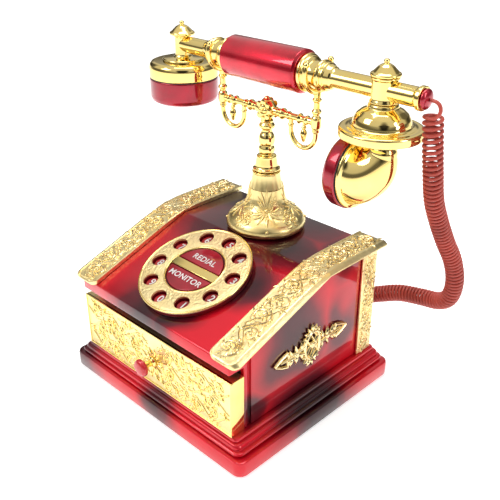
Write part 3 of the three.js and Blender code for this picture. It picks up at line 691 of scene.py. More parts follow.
def helix():
    """Turns round the coil's middle line, wider apart at the top. At the end they narrow to a straight
    wire, and the pitch opens with them, so that the wire bends little more tightly than a full turn."""
    stations = 500
    axis, across, up = frames_along(smooth_line(COIL, stations))
    run = np.concatenate([[0], np.cumsum(np.linalg.norm(np.diff(axis, axis=0), axis=1))])
    step = HELIX["pitch"] / HELIX["steps"]
    points = []
    angle = 0.0
    for distance in np.arange(WIRE, run[-1], step):
        left = min(1.0, (run[-1] - distance) / HELIX["unwinding"])
        radius = HELIX["radius"] * left * left * (3 - 2 * left)
        i = min(int(distance / run[-1] * (stations - 1)), stations - 2)
        share = (distance - run[i]) / (run[i + 1] - run[i])
        centre = axis[i] * (1 - share) + axis[i + 1] * share
        points.append(centre + radius * (math.cos(angle) * across[i] + math.sin(angle) * up[i]))
        pitch = HELIX["pitch"] + (HELIX["top_pitch"] - HELIX["pitch"]) * max(0, 1 - distance / 80)
        opened = (HELIX["radius"] - radius) * radius + 3 * (1 - left)
        angle += step / math.sqrt(max((pitch / TURN) ** 2, opened))
    return points


def cord():
    curls = helix()
    loop = []
    for share in np.linspace(0, 0.97, 13):
        a = math.pi * (0.5 - share)
        aside = 1.5 * share ** 2 * (3 - 2 * share)
        loop.append((LOOP["x"] + LOOP["radius"] * math.cos(a), LEAD_TOP[1] - aside,
                     LOOP["z"] + LOOP["radius"] * math.sin(a)))
    top = eased(smooth_line([LEAD_TOP, *loop, *curls[1:10]], 70), 14)
    bottom = smooth_line([curls[-8], *LEAD_BOTTOM[1:]], 24)
    route = np.array([*top, *curls[10:-8], *bottom])
    made = piece("curly_cord", tube(route, WIRE, 8), CORD, None,
                 ("cord_lead_top", "cord_coil", "cord_lead_bottom"), sharp=60)
    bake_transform(made)


cord()


# ---------------------------------------------------------------- raised ornament
RIB_SECTION = ((-1, -0.35), (-0.85, 0.45), (-0.4, 0.9), (0.1, 1), (0.6, 0.75), (0.95, 0.2), (1, -0.35))


def stroke(line, widths, height, place):
    """A raised rib along a line of (u, v), wide and tall by its widths, on the surface place(u, v, w)."""
    line = np.array(line, float)
    widths = np.broadcast_to(widths, len(line))
    ahead = np.gradient(line, axis=0)
    ahead /= np.linalg.norm(ahead, axis=1)[:, None] + 1e-9
    rings = []
    for (u, v), (du, dv), width in zip(line, ahead, widths):
        tall = height * math.sqrt(width / max(widths))
        ring = []
        for across, up in RIB_SECTION:
            ring.append(place(u - dv * width * across, v + du * width * across, tall * up))
        rings.append(ring)
    return skin(rings)


def bead(u, v, radius, height, place, sides=10):
    """A low round dome at (u, v)."""
    rings = []
    for share, level in ((1, -0.3), (0.92, 0.4), (0.6, 0.85), (0.15, 1)):
        reach = radius * share
        rings.append([place(u + reach * math.cos(a), v + reach * math.sin(a), height * level)
                      for a in np.arange(sides) * TURN / sides])
    return skin(rings)


def leaf(u, v, heading, length, curl, width, steps=8):
    """A pointed leaf from (u, v): its heading turns by curl (degrees) along its length."""
    points = [(u, v)]
    for i in range(steps):
        a = math.radians(heading + curl * i / steps)
        u, v = u + math.cos(a) * length / steps, v + math.sin(a) * length / steps
        points.append((u, v))
    share = np.linspace(0, 1, steps + 1)
    return points, width * np.maximum(np.sin(math.pi * share ** 0.75), 0.12)


def scroll(u, v, radius, start, turns, width, steps=26):
    """A spiral running in to (u, v); turns is negative for a clockwise one."""
    share = np.linspace(0, 1, steps)
    angle = math.radians(start) + turns * TURN * share
    reach = radius * (1 - 0.84 * share)
    points = [(u + r * math.cos(a), v + r * math.sin(a)) for a, r in zip(angle, reach)]
    return points, width * (1 - 0.45 * share)


def foliage(shape, length, reach, pitch, height, place, seed, width=0.75):
    """A winding stem with a scroll in every bend, and leaves that spring from it and fill the corners."""
    draw = random.Random(seed)
    u = np.linspace(0, length, int(length / 1.4))
    stem = np.stack([u, reach * 0.62 * np.sin(TURN * u / pitch)], axis=1)
    shape.merge(stroke(stem, width * 0.8, height, place))
    for k in range(int(2 * length / pitch)):
        middle_u = (k + 0.5) * pitch / 2
        side = 1 if k % 2 == 0 else -1
        size = min(0.25 * pitch, 0.62 * reach) * draw.uniform(0.9, 1.1)
        centre_v = -side * reach * 0.3
        spiral = scroll(middle_u, centre_v, size, 90 * side, -1.5 * side, width)
        shape.merge(stroke(*spiral, height * 1.1, place))
        shape.merge(bead(middle_u, centre_v, width * 1.3, height * 1.3, place))
        for _ in range(6):
            around = draw.uniform(0, 360)
            a = math.radians(around)
            out_u = middle_u + size * 1.05 * math.cos(a)
            out_v = centre_v + size * 1.05 * math.sin(a)
            room = reach - abs(out_v)
            if room > 0.6 and 1 < out_u < length - 1:
                long = min(draw.uniform(3.5, 6), room + 3)
                blade = leaf(out_u, out_v, around + 55 * side, long, -60 * side, width * 0.9)
                shape.merge(stroke(*blade, height, place))
        for _ in range(5):
            edge_v = draw.choice((-1, 1)) * reach * draw.uniform(0.7, 0.92)
            edge_u = middle_u + draw.uniform(-0.25, 0.25) * pitch
            if 2 < edge_u < length - 5:
                blade = leaf(edge_u, edge_v, draw.uniform(-30, 30), draw.uniform(2.5, 4.5),
                             draw.uniform(-50, 50), width * 0.7)
                shape.merge(stroke(*blade, height * 0.8, place))
    return shape


# ---------------------------------------------------------------- plinth and casing
def plinth():
    """A slab with a stepped, ribbed moulding on it; hollow below for the cover."""
    half_x = PLINTH_HIGH[0]
    half_y = PLINTH_HIGH[1]
    low = PLINTH_LOW[2]
    profile = [(2.5, 10), (2.5, low), (0.9, low), (0.25, low + 0.3), (0, low + 1.1), (0, 9.7), (0.35, 10.7),
               (1.2, 11.2), (3.2, 11.3), (5.0, 11.2), (5.3, 11.7), (4.9, 12.2), (4.1, 12.5), (3.9, 13.2),
               (4.2, 13.9), (4.9, 14.3), (6.4, 14.4), (6.9, 14.8), (6.5, 15.2), (6.4, 15.9), (6.8, 16.8),
               (7.5, 17.5), (8.3, 17.8), (9.6, 17.9), (9.9, 18.3), (9.4, 18.7), (9.4, 19.3), (9.8, 20.0),
               (10.6, 20.4), (11.6, 20.5)]
    rings = []
    for depth, z in profile:
        inward_y = depth * 0.62 if z > 11.3 else depth
        rings.append(rectangle_ring(half_x - depth, half_y - inward_y, max(6 - depth * 0.35, 2), z, 6))
    piece("plinth_moulding", skin(rings), LACQUER, "phone_base", ("base_plinth",), sharp=32)
    rails = Shape()
    for side in (-1, 1):
        rails.merge(slab((60 * side - 1.3, -50, 20.2), (60 * side + 1.3, 54, 30), 0.4))
    piece("drawer_guides", rails, BLACK, "phone_base")


SLOPE_FOOT = np.array([CASING_LOW[1], 70.5])  # y and z where the slope starts
ROOF_EDGE = np.array([9.0, CASING_HIGH[2]])  # y and z where it ends


def casing():
    """A shell of even walls, open below and behind the drawer front."""
    front, bottom = CASING_LOW[1], CASING_LOW[2]
    back, top = CASING_HIGH[1], CASING_HIGH[2]
    post, lip, wall = -54.4, 63, 2.5
    outline = [(post, bottom), (back, bottom), (back, top), tuple(ROOF_EDGE), tuple(SLOPE_FOOT),
               (front, lip), (post, lip)]
    rounded = softened(outline, 0.9, 3, closed=True)
    half_x = CASING_HIGH[0]
    made = piece("casing_shell", prism(rounded, -half_x, half_x, 0.7, lambda u, v, w: (w, u, v)), LACQUER,
                 "phone_base", ("upper_casing",))
    tangent = math.tan(SLOPE)
    under = SLOPE_FOOT[1] - wall / math.cos(SLOPE)
    hollow = [(post - 1, bottom - 1), (back - wall, bottom - 1), (back - wall, top - wall),
              (front + (top - wall - under) / tangent, top - wall), (front + wall, under + wall * tangent),
              (front + wall, lip + wall), (post - 1, lip + wall)]
    inner = half_x - wall
    grommet = middle("cord_grommet")
    jack = middle("line_jack")
    dial_hole, plunger_hole, cord_hole = 33.2, 3.3, 3.4
    jack_reach = np.array([7, 8, 6])
    jack_centre = np.array([jack[0], back, jack[2]])
    holes = [
        prism(hollow, -inner, inner, 0.01, lambda u, v, w: (w, u, v), 1),
        plug(dial_hole, -8, 8, 72).mapped(on_dial),
        plug(plunger_hole, 90, 100, 32).moved((0, CRADLE_Y, 0)),
        along_minus_y(plug(cord_hole, -8, 8, 32)).moved((grommet[0], back, grommet[2])),
        slab(jack_centre - jack_reach, jack_centre + jack_reach, 0.02),
    ]
    seam_front, seam_back, seam_top, seam_depth = -52, -48.8, 72, 1.5
    for side in (-1, 1):
        wall_x = side * half_x
        holes.append(slab((wall_x - seam_depth, seam_front, bottom - 1),
                          (wall_x + seam_depth, seam_back, seam_top), 0.1))
    carve(made, *holes)


# ---------------------------------------------------------------- drawer
DRAWER_LOW, DRAWER_HIGH = box("drawer_front")
KNOB = middle("drawer_knob")


def on_drawer(u, v, w):
    """Across the drawer's face from its middle, up from the knob's height, and out of it."""
    return (u, DRAWER_LOW[1] - w, KNOB[2] + v)


def drawer_front():
    """A thick gold slab: a sunk field with scrolls between plain raised edges, mirrored about the knob."""
    half_x = DRAWER_HIGH[0]
    low, high = DRAWER_LOW[2], DRAWER_HIGH[2]
    sunk = 0.6
    body = slab((-half_x + 0.45, DRAWER_LOW[1] + sunk, low), (half_x - 0.45, DRAWER_HIGH[1], high), 0.3)
    piece("drawer_slab", body, FIELD, "drawer", ("drawer_front",))
    edges = Shape()
    for v in (low + 0.5, high - 0.5):
        edges.merge(slab((-half_x, DRAWER_LOW[1] + 0.1, v - 0.5), (half_x, DRAWER_LOW[1] + 2, v + 0.5),
                         0.25, 0.3))
    for side in (-1, 1):
        centre = side * (half_x - 0.45)
        edges.merge(slab((centre - 0.45, DRAWER_LOW[1] + 0.1, low), (centre + 0.45, DRAWER_HIGH[1], high),
                         0.3, 0.4))
    piece("drawer_edges", edges, POLISHED, "drawer")
    leaves = Shape()

    def on_field(u, v, w):
        return on_drawer(u, min(max(v, low - KNOB[2] + 1), high - KNOB[2] - 1), w - sunk)
    for level, pitch, seed in ((-10.5, 27, 4), (0, 36, 11), (10, 30, 6)):
        for side in (-1, 1):
            def on_row(u, v, w, side=side, level=level):
                return on_field(side * (u + 5), v + level, w)
            foliage(leaves, half_x - 7, 6.4, pitch, 0.5, on_row, seed, 0.8)
    draw = random.Random(21)
    for _ in range(70):
        u = draw.uniform(-half_x + 4, half_x - 4)
        v = draw.uniform(low + 3, high - 6) - KNOB[2]
        lean = draw.uniform(55, 125)
        for spread in draw.choice(((-24, 0, 24), (-18, 12), (-32, -8, 18, 38))):
            tuft = leaf(u + spread * 0.05, v, lean + spread, draw.uniform(3.2, 6.5),
                        draw.uniform(-30, 30), 0.6)
            leaves.merge(stroke(*tuft, 0.9, on_field))
    for k in range(12):
        a = k * 30 + 15
        u = 2.4 * math.cos(math.radians(a))
        v = 2.4 * math.sin(math.radians(a))
        leaves.merge(stroke(*leaf(u, v, a, 7.0, 25, 1.1), 1.0, on_field))
    piece("drawer_scrolls", leaves, POLISHED, "drawer")


def drawer_knob():
    """A gold stem with a red, pointed head."""
    low, high = box("drawer_knob")
    reach = high[1] - low[1]
    stem = turned([(0, -1), (3.4, -1), (3.4, 0.8), (2.2, 1.6), (1.9, 4), (2.3, 7.6), (0, 7.6)], 40)
    head = turned([(0, 7.2), (2.8, 7.0), (5.2, 7.5), (5.7, 8.7), (5.3, 10.1), (3.9, 11.2),
                   (1.9, reach - 0.1), (0, reach)], 48, 0.8)
    base = (0, DRAWER_LOW[1], KNOB[2])
    piece("knob_stem", along_minus_y(stem).moved(base), POLISHED, "drawer")
    piece("knob_head", along_minus_y(head).moved(base), KNOB_RED, "drawer", ("drawer_knob",))


# ---------------------------------------------------------------- trim on the casing
BAND_LOW, BAND_HIGH = box("trim_band_right")
BAND_GAP = 0.3
BAND_THICK = BAND_HIGH[2] - ROOF_EDGE[1] - BAND_GAP


def band_line(height):
    """The band's side view at a height above the casing: (y, z) at its front, its bend and its back."""
    run = 1.8
    front = (SLOPE_FOOT[0] - run * math.cos(SLOPE) - height * math.sin(SLOPE),
             SLOPE_FOOT[1] - run * math.sin(SLOPE) + height * math.cos(SLOPE))
    bend = (ROOF_EDGE[0] - height * math.tan(SLOPE / 2), ROOF_EDGE[1] + height)
    return front, bend, (BAND_HIGH[1], ROOF_EDGE[1] + height)


FRONT, BEND, BACK = (np.array(p) for p in band_line(BAND_GAP))
SLOPE_RUN = np.linalg.norm(BEND - FRONT)
BAND_RUN = SLOPE_RUN + np.linalg.norm(BACK - BEND)


def on_band(u, v, w):
    """Along the band from its front end, across it from its middle, and up from the casing."""
    blend = min(1.0, max(0.0, (u - SLOPE_RUN + 3) / 6))
    lean = SLOPE * (1 - blend * blend * (3 - 2 * blend))
    if u < SLOPE_RUN:
        foot = FRONT + (BEND - FRONT) * u / SLOPE_RUN
    else:
        foot = BEND + (BACK - BEND) * (u - SLOPE_RUN) / (BAND_RUN - SLOPE_RUN)
    half = (BAND_LOW[0] + BAND_HIGH[0]) / 2
    w = w * (1 - 0.42 * math.exp(-((u - SLOPE_RUN) / 7) ** 2))
    return (half + v, foot[0] - w * math.sin(lean), foot[1] + w * math.cos(lean))


def band_body(border):
    """The band swept along its side view, its outer edge bevelled and its front corners rounded."""
    half = (BAND_HIGH[0] - BAND_LOW[0]) / 2
    rounding = 4.5
    stations = [0, 0.25, 0.8, 1.8, 3.2, rounding, 12]
    stations += list(np.linspace(20, SLOPE_RUN - 6, 5)) + list(np.linspace(SLOPE_RUN - 4, SLOPE_RUN + 4, 9))
    stations += list(np.linspace(SLOPE_RUN + 10, BAND_RUN - 0.6, 4)) + [BAND_RUN - 0.2, BAND_RUN]
    rings = []
    for u in stations:
        near = max(rounding - u, 0)
        drawn = rounding - math.sqrt(max(rounding ** 2 - near ** 2, 0))
        lowered = 1.1 * max(0, 1 - u / 1.8) ** 2 + 0.4 * max(0, 1 - (BAND_RUN - u) / 0.4)
        top = BAND_THICK - lowered
        wide = half - drawn
        ring = [(-wide, 0), (wide, 0), (wide, 0.8), (wide - 0.3, 1.2), (wide - 2.0, top - 0.25),
                (wide - 2.4, top), (wide - 3.2, top), (wide - 3.5, top - border),
                (-wide + 1.5, top - border), (-wide + 1.2, top), (-wide + 0.5, top), (-wide, top - 0.5)]
        rings.append([on_band(u, v, w) for v, w in ring])
    return skin(rings)


def mirrored_x(shape):
    return shape.mapped(lambda x, y, z: (-x, y, z))


def trim_bands():
    """The two bands over the casing's long top edges, with foliage in their sunk field."""
    sunk = 0.5
    for name, turn in (("right", lambda shape: shape), ("left", mirrored_x)):
        piece("band_" + name, turn(band_body(sunk)), FIELD, "phone_base",
              ("trim_band_" + name,))
        leaves = Shape()

        def place(u, v, w):
            return on_band(u + 3, v - 1.0, BAND_THICK - sunk + w)
        length = BAND_RUN - 4.5
        foliage(leaves, length, 8.2, length / 5, 0.8, place, 7, 0.75)
        foliage(leaves, length, 7.6, length / 4, 0.6, place, 19, 0.5)
        piece("band_scrolls_" + name, turn(leaves), RELIEF, "phone_base")


def corner_strips():
    """The upright strips on the rear corners: foliage on a ground of small beads."""
    for name, side in SIDES:
        low, high = box("corner_strip_" + name)
        plate_low = low.copy()
        plate_high = high.copy()
        outer = high[0] if side > 0 else low[0]
        if side > 0:
            plate_high[0] -= 0.7
        else:
            plate_low[0] += 0.7
        piece("strip_" + name, slab(plate_low, plate_high, 0.35, 0.4), FIELD, "phone_base",
              ("corner_strip_" + name,))
        centre_y = (low[1] + high[1]) / 2

        def place(u, v, w):
            return (outer - side * (0.7 - min(w, 0.68)), centre_y + v, low[2] + 2 + u)
        leaves = foliage(Shape(), high[2] - low[2] - 5, 5.2, 19, 0.66, place, 5, 0.5)
        draw = random.Random(8)
        for _ in range(160):
            leaves.merge(bead(draw.uniform(0, high[2] - low[2] - 4), draw.uniform(-6.2, 6.2),
                              draw.uniform(0.25, 0.5), 0.4, place, 6))
        piece("strip_scrolls_" + name, leaves, RELIEF, "phone_base")


def side_ornaments():
    """A pierced filigree: a spiky oval with crossed ribs, between two leafy pointed ends."""
    for name, side in SIDES:
        low, high = box("side_ornament_" + name)
        wall = low[0] if side > 0 else high[0]
        centre = (low + high) / 2
        thick = high[0] - low[0]

        def place(u, v, w):
            return (wall + side * min(max(w, 0) + 0.5, thick), centre[1] + u, centre[2] + v)

        def rib(points, width, height=1.5):
            shape.merge(stroke(points, width, height, place))

        shape = Shape()
        rib([(6.6 * math.cos(a), 9.6 * math.sin(a)) for a in np.linspace(0, TURN, 49)], 1.3, 1.7)
        for pole in (-1, 1):
            for k in range(-3, 4):
                a = math.radians(90 * pole + k * 17)
                root = (6.4 * math.cos(a), 9.8 * math.sin(a))
                blade = leaf(*root, 90 * pole + k * 24, 5.0 - abs(k) * 0.5, k * 12, 1.15, 7)
                shape.merge(stroke(*blade, 1.6, place))
            rib([(-3.6, pole * 5.6), (0, pole * 9.6), (3.6, pole * 5.6)], 0.8)
        for tilt in (-1, 1):
            rib([(-5.4, -tilt * 5.6), (-2.6, -tilt * 1.5), (2.6, tilt * 1.5), (5.4, tilt * 5.6)], 1.15)
            rib([(-2.0, tilt * 8.8), (2.6, tilt * 1.2), (3.6, -tilt * 3.2)], 0.8)
        shape.merge(bead(0, 0, 2.4, 1.8, place))
        for end in (-1, 1):
            for edge in (-1, 1):
                rib([(end * 21.0, edge * 1.0), (end * 22.0, edge * 4.6), (end * 27, edge * 3.0),
                     (end * 32.6, 0)], [0.9, 1.3, 1.2, 0.9])
                rib([(end * 6.4, edge * 2.6), (end * 12, edge * 1.2), (end * 21, edge * 1.0)],
                    [1.3, 1.2, 1.0])
                for u, long, turn in ((8.5, 5.4, 66), (12.5, 6.2, 52), (17, 5.6, 44), (20.5, 4.2, 72)):
                    heading = edge * turn if end > 0 else 180 - edge * turn
                    blade = leaf(end * u, edge * 0.8, heading, long, edge * end * 40, 1.25, 7)
                    shape.merge(stroke(*blade, 1.6, place))
            rib([(end * 21, 0), (end * 27.5, 0)], [1.1, 0.6], 1.2)
            shape.merge(bead(end * 14, 0, 1.9, 1.9, place))
        piece("filigree_" + name, shape, RELIEF, "phone_base", ("side_ornament_" + name,))


# ---------------------------------------------------------------- dial
KEY_CIRCLE = 27.7
DIGITS = [1, 2, 3, 4, 5, 6, 7, 8, 9, 0]
KEY_BORE = 4.85


def key_place(position):
    """A key's place on the panel; positions run anticlockwise round the dial."""
    a = math.radians(-60 + 36 * position)
    return KEY_CIRCLE * math.cos(a), KEY_CIRCLE * math.sin(a)


def half_moon(radius, flat, side, steps=40):
    """A disc's outline above (side 1) or below (side -1) a line at the flat's distance from its middle."""
    reach = math.acos(flat / radius)
    middle_angle = side * math.pi / 2
    angles = np.linspace(middle_angle - reach, middle_angle + reach, steps)
    return [(radius * math.cos(a), radius * math.sin(a)) for a in angles]


def key_holes(radius, low, high):
    """A cutter for each of the ten finger holes."""
    holes = []
    for position in range(10):
        x, y = key_place(position)
        holes.append(plug(radius, low, high, 40).moved((x, y, 0)).mapped(on_dial))
    return holes


def dial():
    """The dark red bezel sunk in the panel, the gold ring with its finger holes, and the bar across it."""
    bezel = turned([(0, -3.6), (32.9, -3.6), (32.9, 0.3), (35.1, 0.3), (35.4, 0.9), (35.4, 2.9),
                    (35.1, 3.4), (0, 3.4)], 96)
    made = piece("dial_base", bezel.mapped(on_dial), DEEP_RED, "phone_base", ("dial_bezel",))
    carve(made, *key_holes(KEY_BORE, -5, 4))
    for side in (1, -1):
        carve(made, prism(half_moon(18.1, 3.3, side), -5, 4, 0.01, on_dial, 1))
    ring = turned_ring([(18.8, 3.7), (35.8, 3.7), (35.8, 4.3), (35.3, 4.8), (34.6, 5.0), (34.3, 4.8),
                        (33.9, 4.8), (33.5, 5.0), (20.6, 5.0), (20.4, 4.8), (20.0, 4.8), (19.7, 5.0),
                        (19.1, 4.9), (18.8, 4.5)], 128, 0.12)
    made = piece("dial_face", ring.mapped(on_dial), SANDED, "phone_base", ("dial_ring",))
    carve(made, *key_holes(KEY_BORE, 1, 7))
    soften_edges(made, 0.18)
    rims = Shape()
    for radius in (35.35, 19.2):
        circle = [(radius * math.cos(a), radius * math.sin(a), 4.62)
                  for a in np.linspace(0, TURN, 129)[:-1]]
        rings = []
        for x, y, z in circle:
            rings.append([(x * (1 + 0.55 * math.cos(t) / radius), y * (1 + 0.55 * math.cos(t) / radius),
                           z + 0.42 * math.sin(t)) for t in np.arange(10) * TURN / 10])
        rims.merge(skin(rings, ring_of_rings=True))
    piece("dial_rims", rims.mapped(on_dial), POLISHED, "phone_base")
    bar = prism([(-19.2, -2.9), (19.2, -2.9), (19.2, 2.9), (-19.2, 2.9)], 3.7, 5.0, 0.4, on_dial)
    piece("dial_bar", bar, POLISHED, "phone_base")


def lettering(name, text, size, x, y, z, body, spread=1.0):
    """White printed characters lying on the sloping dial."""
    data = bpy.data.curves.new(name, "FONT")
    data.body = text
    data.size = size
    data.align_x = "CENTER"
    data.align_y = "CENTER"
    data.extrude = 0.05
    data.offset = 0.012 * size
    data.space_character = spread
    source = link(name + "_text", data)
    bpy.context.view_layer.update()
    mesh = bpy.data.meshes.new_from_object(source.evaluated_get(bpy.context.evaluated_depsgraph_get()))
    bpy.data.objects.remove(source)
    mesh.name = name
    for vertex in mesh.vertices:
        u, v, w = vertex.co
        vertex.co = Vector(on_dial(x + u, y + v, z + w)) * MM
    mesh.materials.clear()
    mesh.materials.append(WHITE)
    made = link(name, mesh)
    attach(made, body)


def keys():
    """Ten round keys with their digits, and the two half-moon buttons with their words."""
    for position, digit in enumerate(DIGITS):
        x, y = key_place(position)
        cap = turned([(0, -3.6), (4.5, -3.6), (4.5, 1.7), (3.9, 2.3), (2.8, 2.25), (0, 2.05)], 48, 0.3)
        piece(f"keycap_{digit}", cap.moved((x, y, 0)).mapped(on_dial), KEY_RED, f"key_{digit}",
              (f"key_{digit}",))
        lettering(f"digit_{digit}", str(digit), 7.0, x, y, 2.36, f"key_{digit}")
    for name, word, side in (("redial_button", "REDIAL", 1), ("monitor_button", "MONITOR", -1)):
        outline = half_moon(17.8, 3.6, side)
        piece("halfmoon_" + name[:-7], prism(outline, -3.6, 4.8, 0.45, on_dial), KEY_RED, name,
              (name,))
        lettering("word_" + name[:-7], word, 5.7, 0, side * 8.6, 4.84, name, 1.04)


# ---------------------------------------------------------------- pedestal
FOOT_LOW = box("pedestal_foot")[0][2]
FOOT_PROFILE = [
    (0, 0), (21.2, 0), (22.6, 0.2), (24.6, 0.9), (25.5, 2.2), (25.7, 3.6), (25.2, 5.7), (23.7, 8.0),
    (20.8, 10.3), (17.3, 12.4), (14.4, 14.8), (12.5, 17.6), (11.4, 20.9), (10.9, 24), (10.6, 27.0),
    (10.5, 27.1), (0, 27.1),
]


def foot_surface():
    """The foot's visible side as arc length, radius and height."""
    line = np.array([*FOOT_PROFILE[2:15], (9.8, 31), (9.1, 35), (8.8, 38)], float)
    line = smooth_line([(r, 0, z) for r, z in line], 60)
    run = np.concatenate([[0], np.cumsum(np.linalg.norm(np.diff(line, axis=0), axis=1))])
    return run, line[:, 0], line[:, 2]


FOOT_RUN, FOOT_RADIUS, FOOT_HEIGHT = foot_surface()


def on_foot(azimuth):
    """Across the foot at an azimuth, up along its side from the rim, and out of it."""
    def place(u, v, w):
        radius = np.interp(v, FOOT_RUN, FOOT_RADIUS)
        height = np.interp(v, FOOT_RUN, FOOT_HEIGHT)
        lean_r = np.interp(v + 0.5, FOOT_RUN, FOOT_RADIUS) - np.interp(v - 0.5, FOOT_RUN, FOOT_RADIUS)
        lean_z = np.interp(v + 0.5, FOOT_RUN, FOOT_HEIGHT) - np.interp(v - 0.5, FOOT_RUN, FOOT_HEIGHT)
        size = math.hypot(lean_r, lean_z) + 1e-9
        angle = azimuth + u / radius
        out = radius + w * lean_z / size
        return (out * math.cos(angle), CRADLE_Y + out * math.sin(angle),
                FOOT_LOW + height - w * lean_r / size)
    return place


def palmette(shape, azimuth):
    """A fan of slender leaves above, drooping acanthus leaves below, and a drop between them."""
    place = on_foot(azimuth)
    heart = 22.5
    for k in range(-3, 4):
        long = 14.5 - abs(k) * 2.6
        blade = leaf(k * 0.5, heart + 1, 90 - k * 13, long, -k * 5, 0.95, 10)
        shape.merge(stroke(*blade, 0.7, place))
    for side in (-1, 1):
        for spread, long, curl, width in ((20, 11, 22, 1.0), (42, 12.5, 34, 1.1), (62, 12.5, 40, 1.1),
                                          (84, 9, 60, 0.9), (108, 6, 80, 0.7)):
            heading = -90 + side * spread
            blade = leaf(side * 0.9, heart - 1, heading, long, side * curl, width, 12)
            shape.merge(stroke(*blade, 0.7, place))
    shape.merge(stroke(*leaf(0, heart - 4, -90, 8, 0, 1.2, 8), 0.8, place))
    shape.merge(bead(0, heart, 1.5, 1.1, place))
    shape.merge(bead(0, heart - 3.6, 0.9, 0.9, place))
    shape.merge(bead(0, 7.5, 1.0, 0.9, place))


def scroll_cluster(shape, azimuth):
    """Two pairs of scrolls with a leaf at each, between the palmettes."""
    place = on_foot(azimuth)
    for side in (-1, 1):
        shape.merge(stroke(*scroll(side * 3.6, 13.0, 3.2, 90, side * 1.4, 0.85, 22), 0.7, place))
        shape.merge(stroke(*scroll(side * 2.1, 19.4, 2.0, -90, -side * 1.2, 0.6, 18), 0.6, place))
        shape.merge(stroke(*leaf(side * 0.6, 9.8, -90 + side * 50, 4.6, side * 60, 0.9), 0.6, place))
        shape.merge(stroke(*leaf(side * 0.5, 21.6, 90 - side * 14, 5.4, side * 24, 0.7), 0.55, place))
    shape.merge(bead(0, 16, 1.2, 0.9, place))


def pedestal():
    """The flared foot with its leaves, the fluted column on it, and the column's collar."""
    foot = turned([(r, FOOT_LOW + z) for r, z in FOOT_PROFILE], 96, 0.8, 4).moved((0, CRADLE_Y, 0))
    piece("foot_bell", foot, SATIN, "phone_base", ("pedestal_foot",))
    leaves = Shape()
    for k in range(4):
        palmette(leaves, math.radians(-45 + 90 * k))
        scroll_cluster(leaves, math.radians(90 * k))
    piece("foot_palmettes", leaves, SATIN, "phone_base")
    low, high = box("pedestal_column")
    wide, narrowing, flutes, flute_depth = 10.5, 1.8, 16, 0.16
    rings = []
    for share in np.linspace(0, 1, 16):
        z = low[2] + (high[2] - 1.2 - low[2]) * share
        radius = wide - narrowing * math.sin(share * math.pi / 2)
        ring = []
        for a in np.arange(96) * TURN / 96:
            flute = flute_depth * math.cos(flutes * a) * (1 - share * 0.5)
            ring.append(((radius + flute) * math.cos(a), CRADLE_Y + (radius + flute) * math.sin(a), z))
        rings.append(ring)
    piece("column_fluted", skin(rings), SATIN, "phone_base", ("pedestal_column",))
    top = high[2]
    collar = turned([(3.3, top - 1.6), (8.9, top - 1.6), (9.1, top - 1.0), (8.9, top - 0.2), (8.4, top),
                     (3.3, top)], 72)
    piece("column_collar", collar.moved((0, CRADLE_Y, 0)), POLISHED, "phone_base")


# ---------------------------------------------------------------- cradle
ARM_Z = 174.0
FORK_X = 38.5


def cradle_column():
    """The turned column that rises with the hook, and the beaded bar across its top with two drops."""
    low = box("cradle_arms")[0][2]
    profile = [(0, low), (8.2, low), (8.7, low + 0.5), (8.7, low + 1.3), (7.7, low + 1.9), (7.1, 138.4),
               (6.9, 140), (6.3, 143.8), (6.3, 144.8), (5.4, 145.3), (4.4, 145.7), (4.4, 146.1),
               (5.0, 147.2), (5.2, 148.6), (5.0, 150.2), (4.4, 151.3), (4.3, 151.7), (4.8, 152.6),
               (5.1, 154.4), (5.0, 156.6), (4.5, 158.2), (3.9, 159.2), (3.4, 160.2), (3.3, 161.4),
               (3.6, 162.0), (4.9, 162.9), (5.0, 164.4), (4.2, 165.5), (3.6, 166.2), (4.2, 167.4),
               (0, 167.4)]
    column = turned(profile, 72, 0.5).moved((0, CRADLE_Y, 0))
    piece("cradle_column", column, POLISHED, "cradle", ("cradle_arms",))
    arms = Shape()
    beads = [(0, -36.4), (2.0, -36.4), (2.0, -33), (2.9, -32.2), (2.9, -31.4), (2.0, -30.6)]
    beads += [(2.0, -28.0), (3.3, -26.5), (2.0, -25), (1.9, -19), (2.6, -18.2), (2.6, -17.4),
              (1.9, -16.6), (2.3, -15.4), (3.5, -13.6), (3.5, -12.8), (2.2, -11.2), (2.8, -10), (2.0, -9),
              (2.4, -6)]
    line = beads + [(r, -x) for r, x in reversed(beads)]
    arms.merge(along_x(turned(line, 28, 0.3)).moved((0, CRADLE_Y, ARM_Z)))
    for side in (-1, 1):
        drop = turned([(0, 160.2), (0.9, 160.8), (1.4, 162.4), (2.2, 165.4), (1.7, 167.2), (1.0, 168.2),
                       (1.6, 168.9), (1.6, 169.6), (0.9, 170.4), (0.9, ARM_Z), (0, ARM_Z)], 24, 0.3)
        arms.merge(drop.moved((side * 29.5, CRADLE_Y, 0)))
    piece("cradle_bar", arms, POLISHED, "cradle")


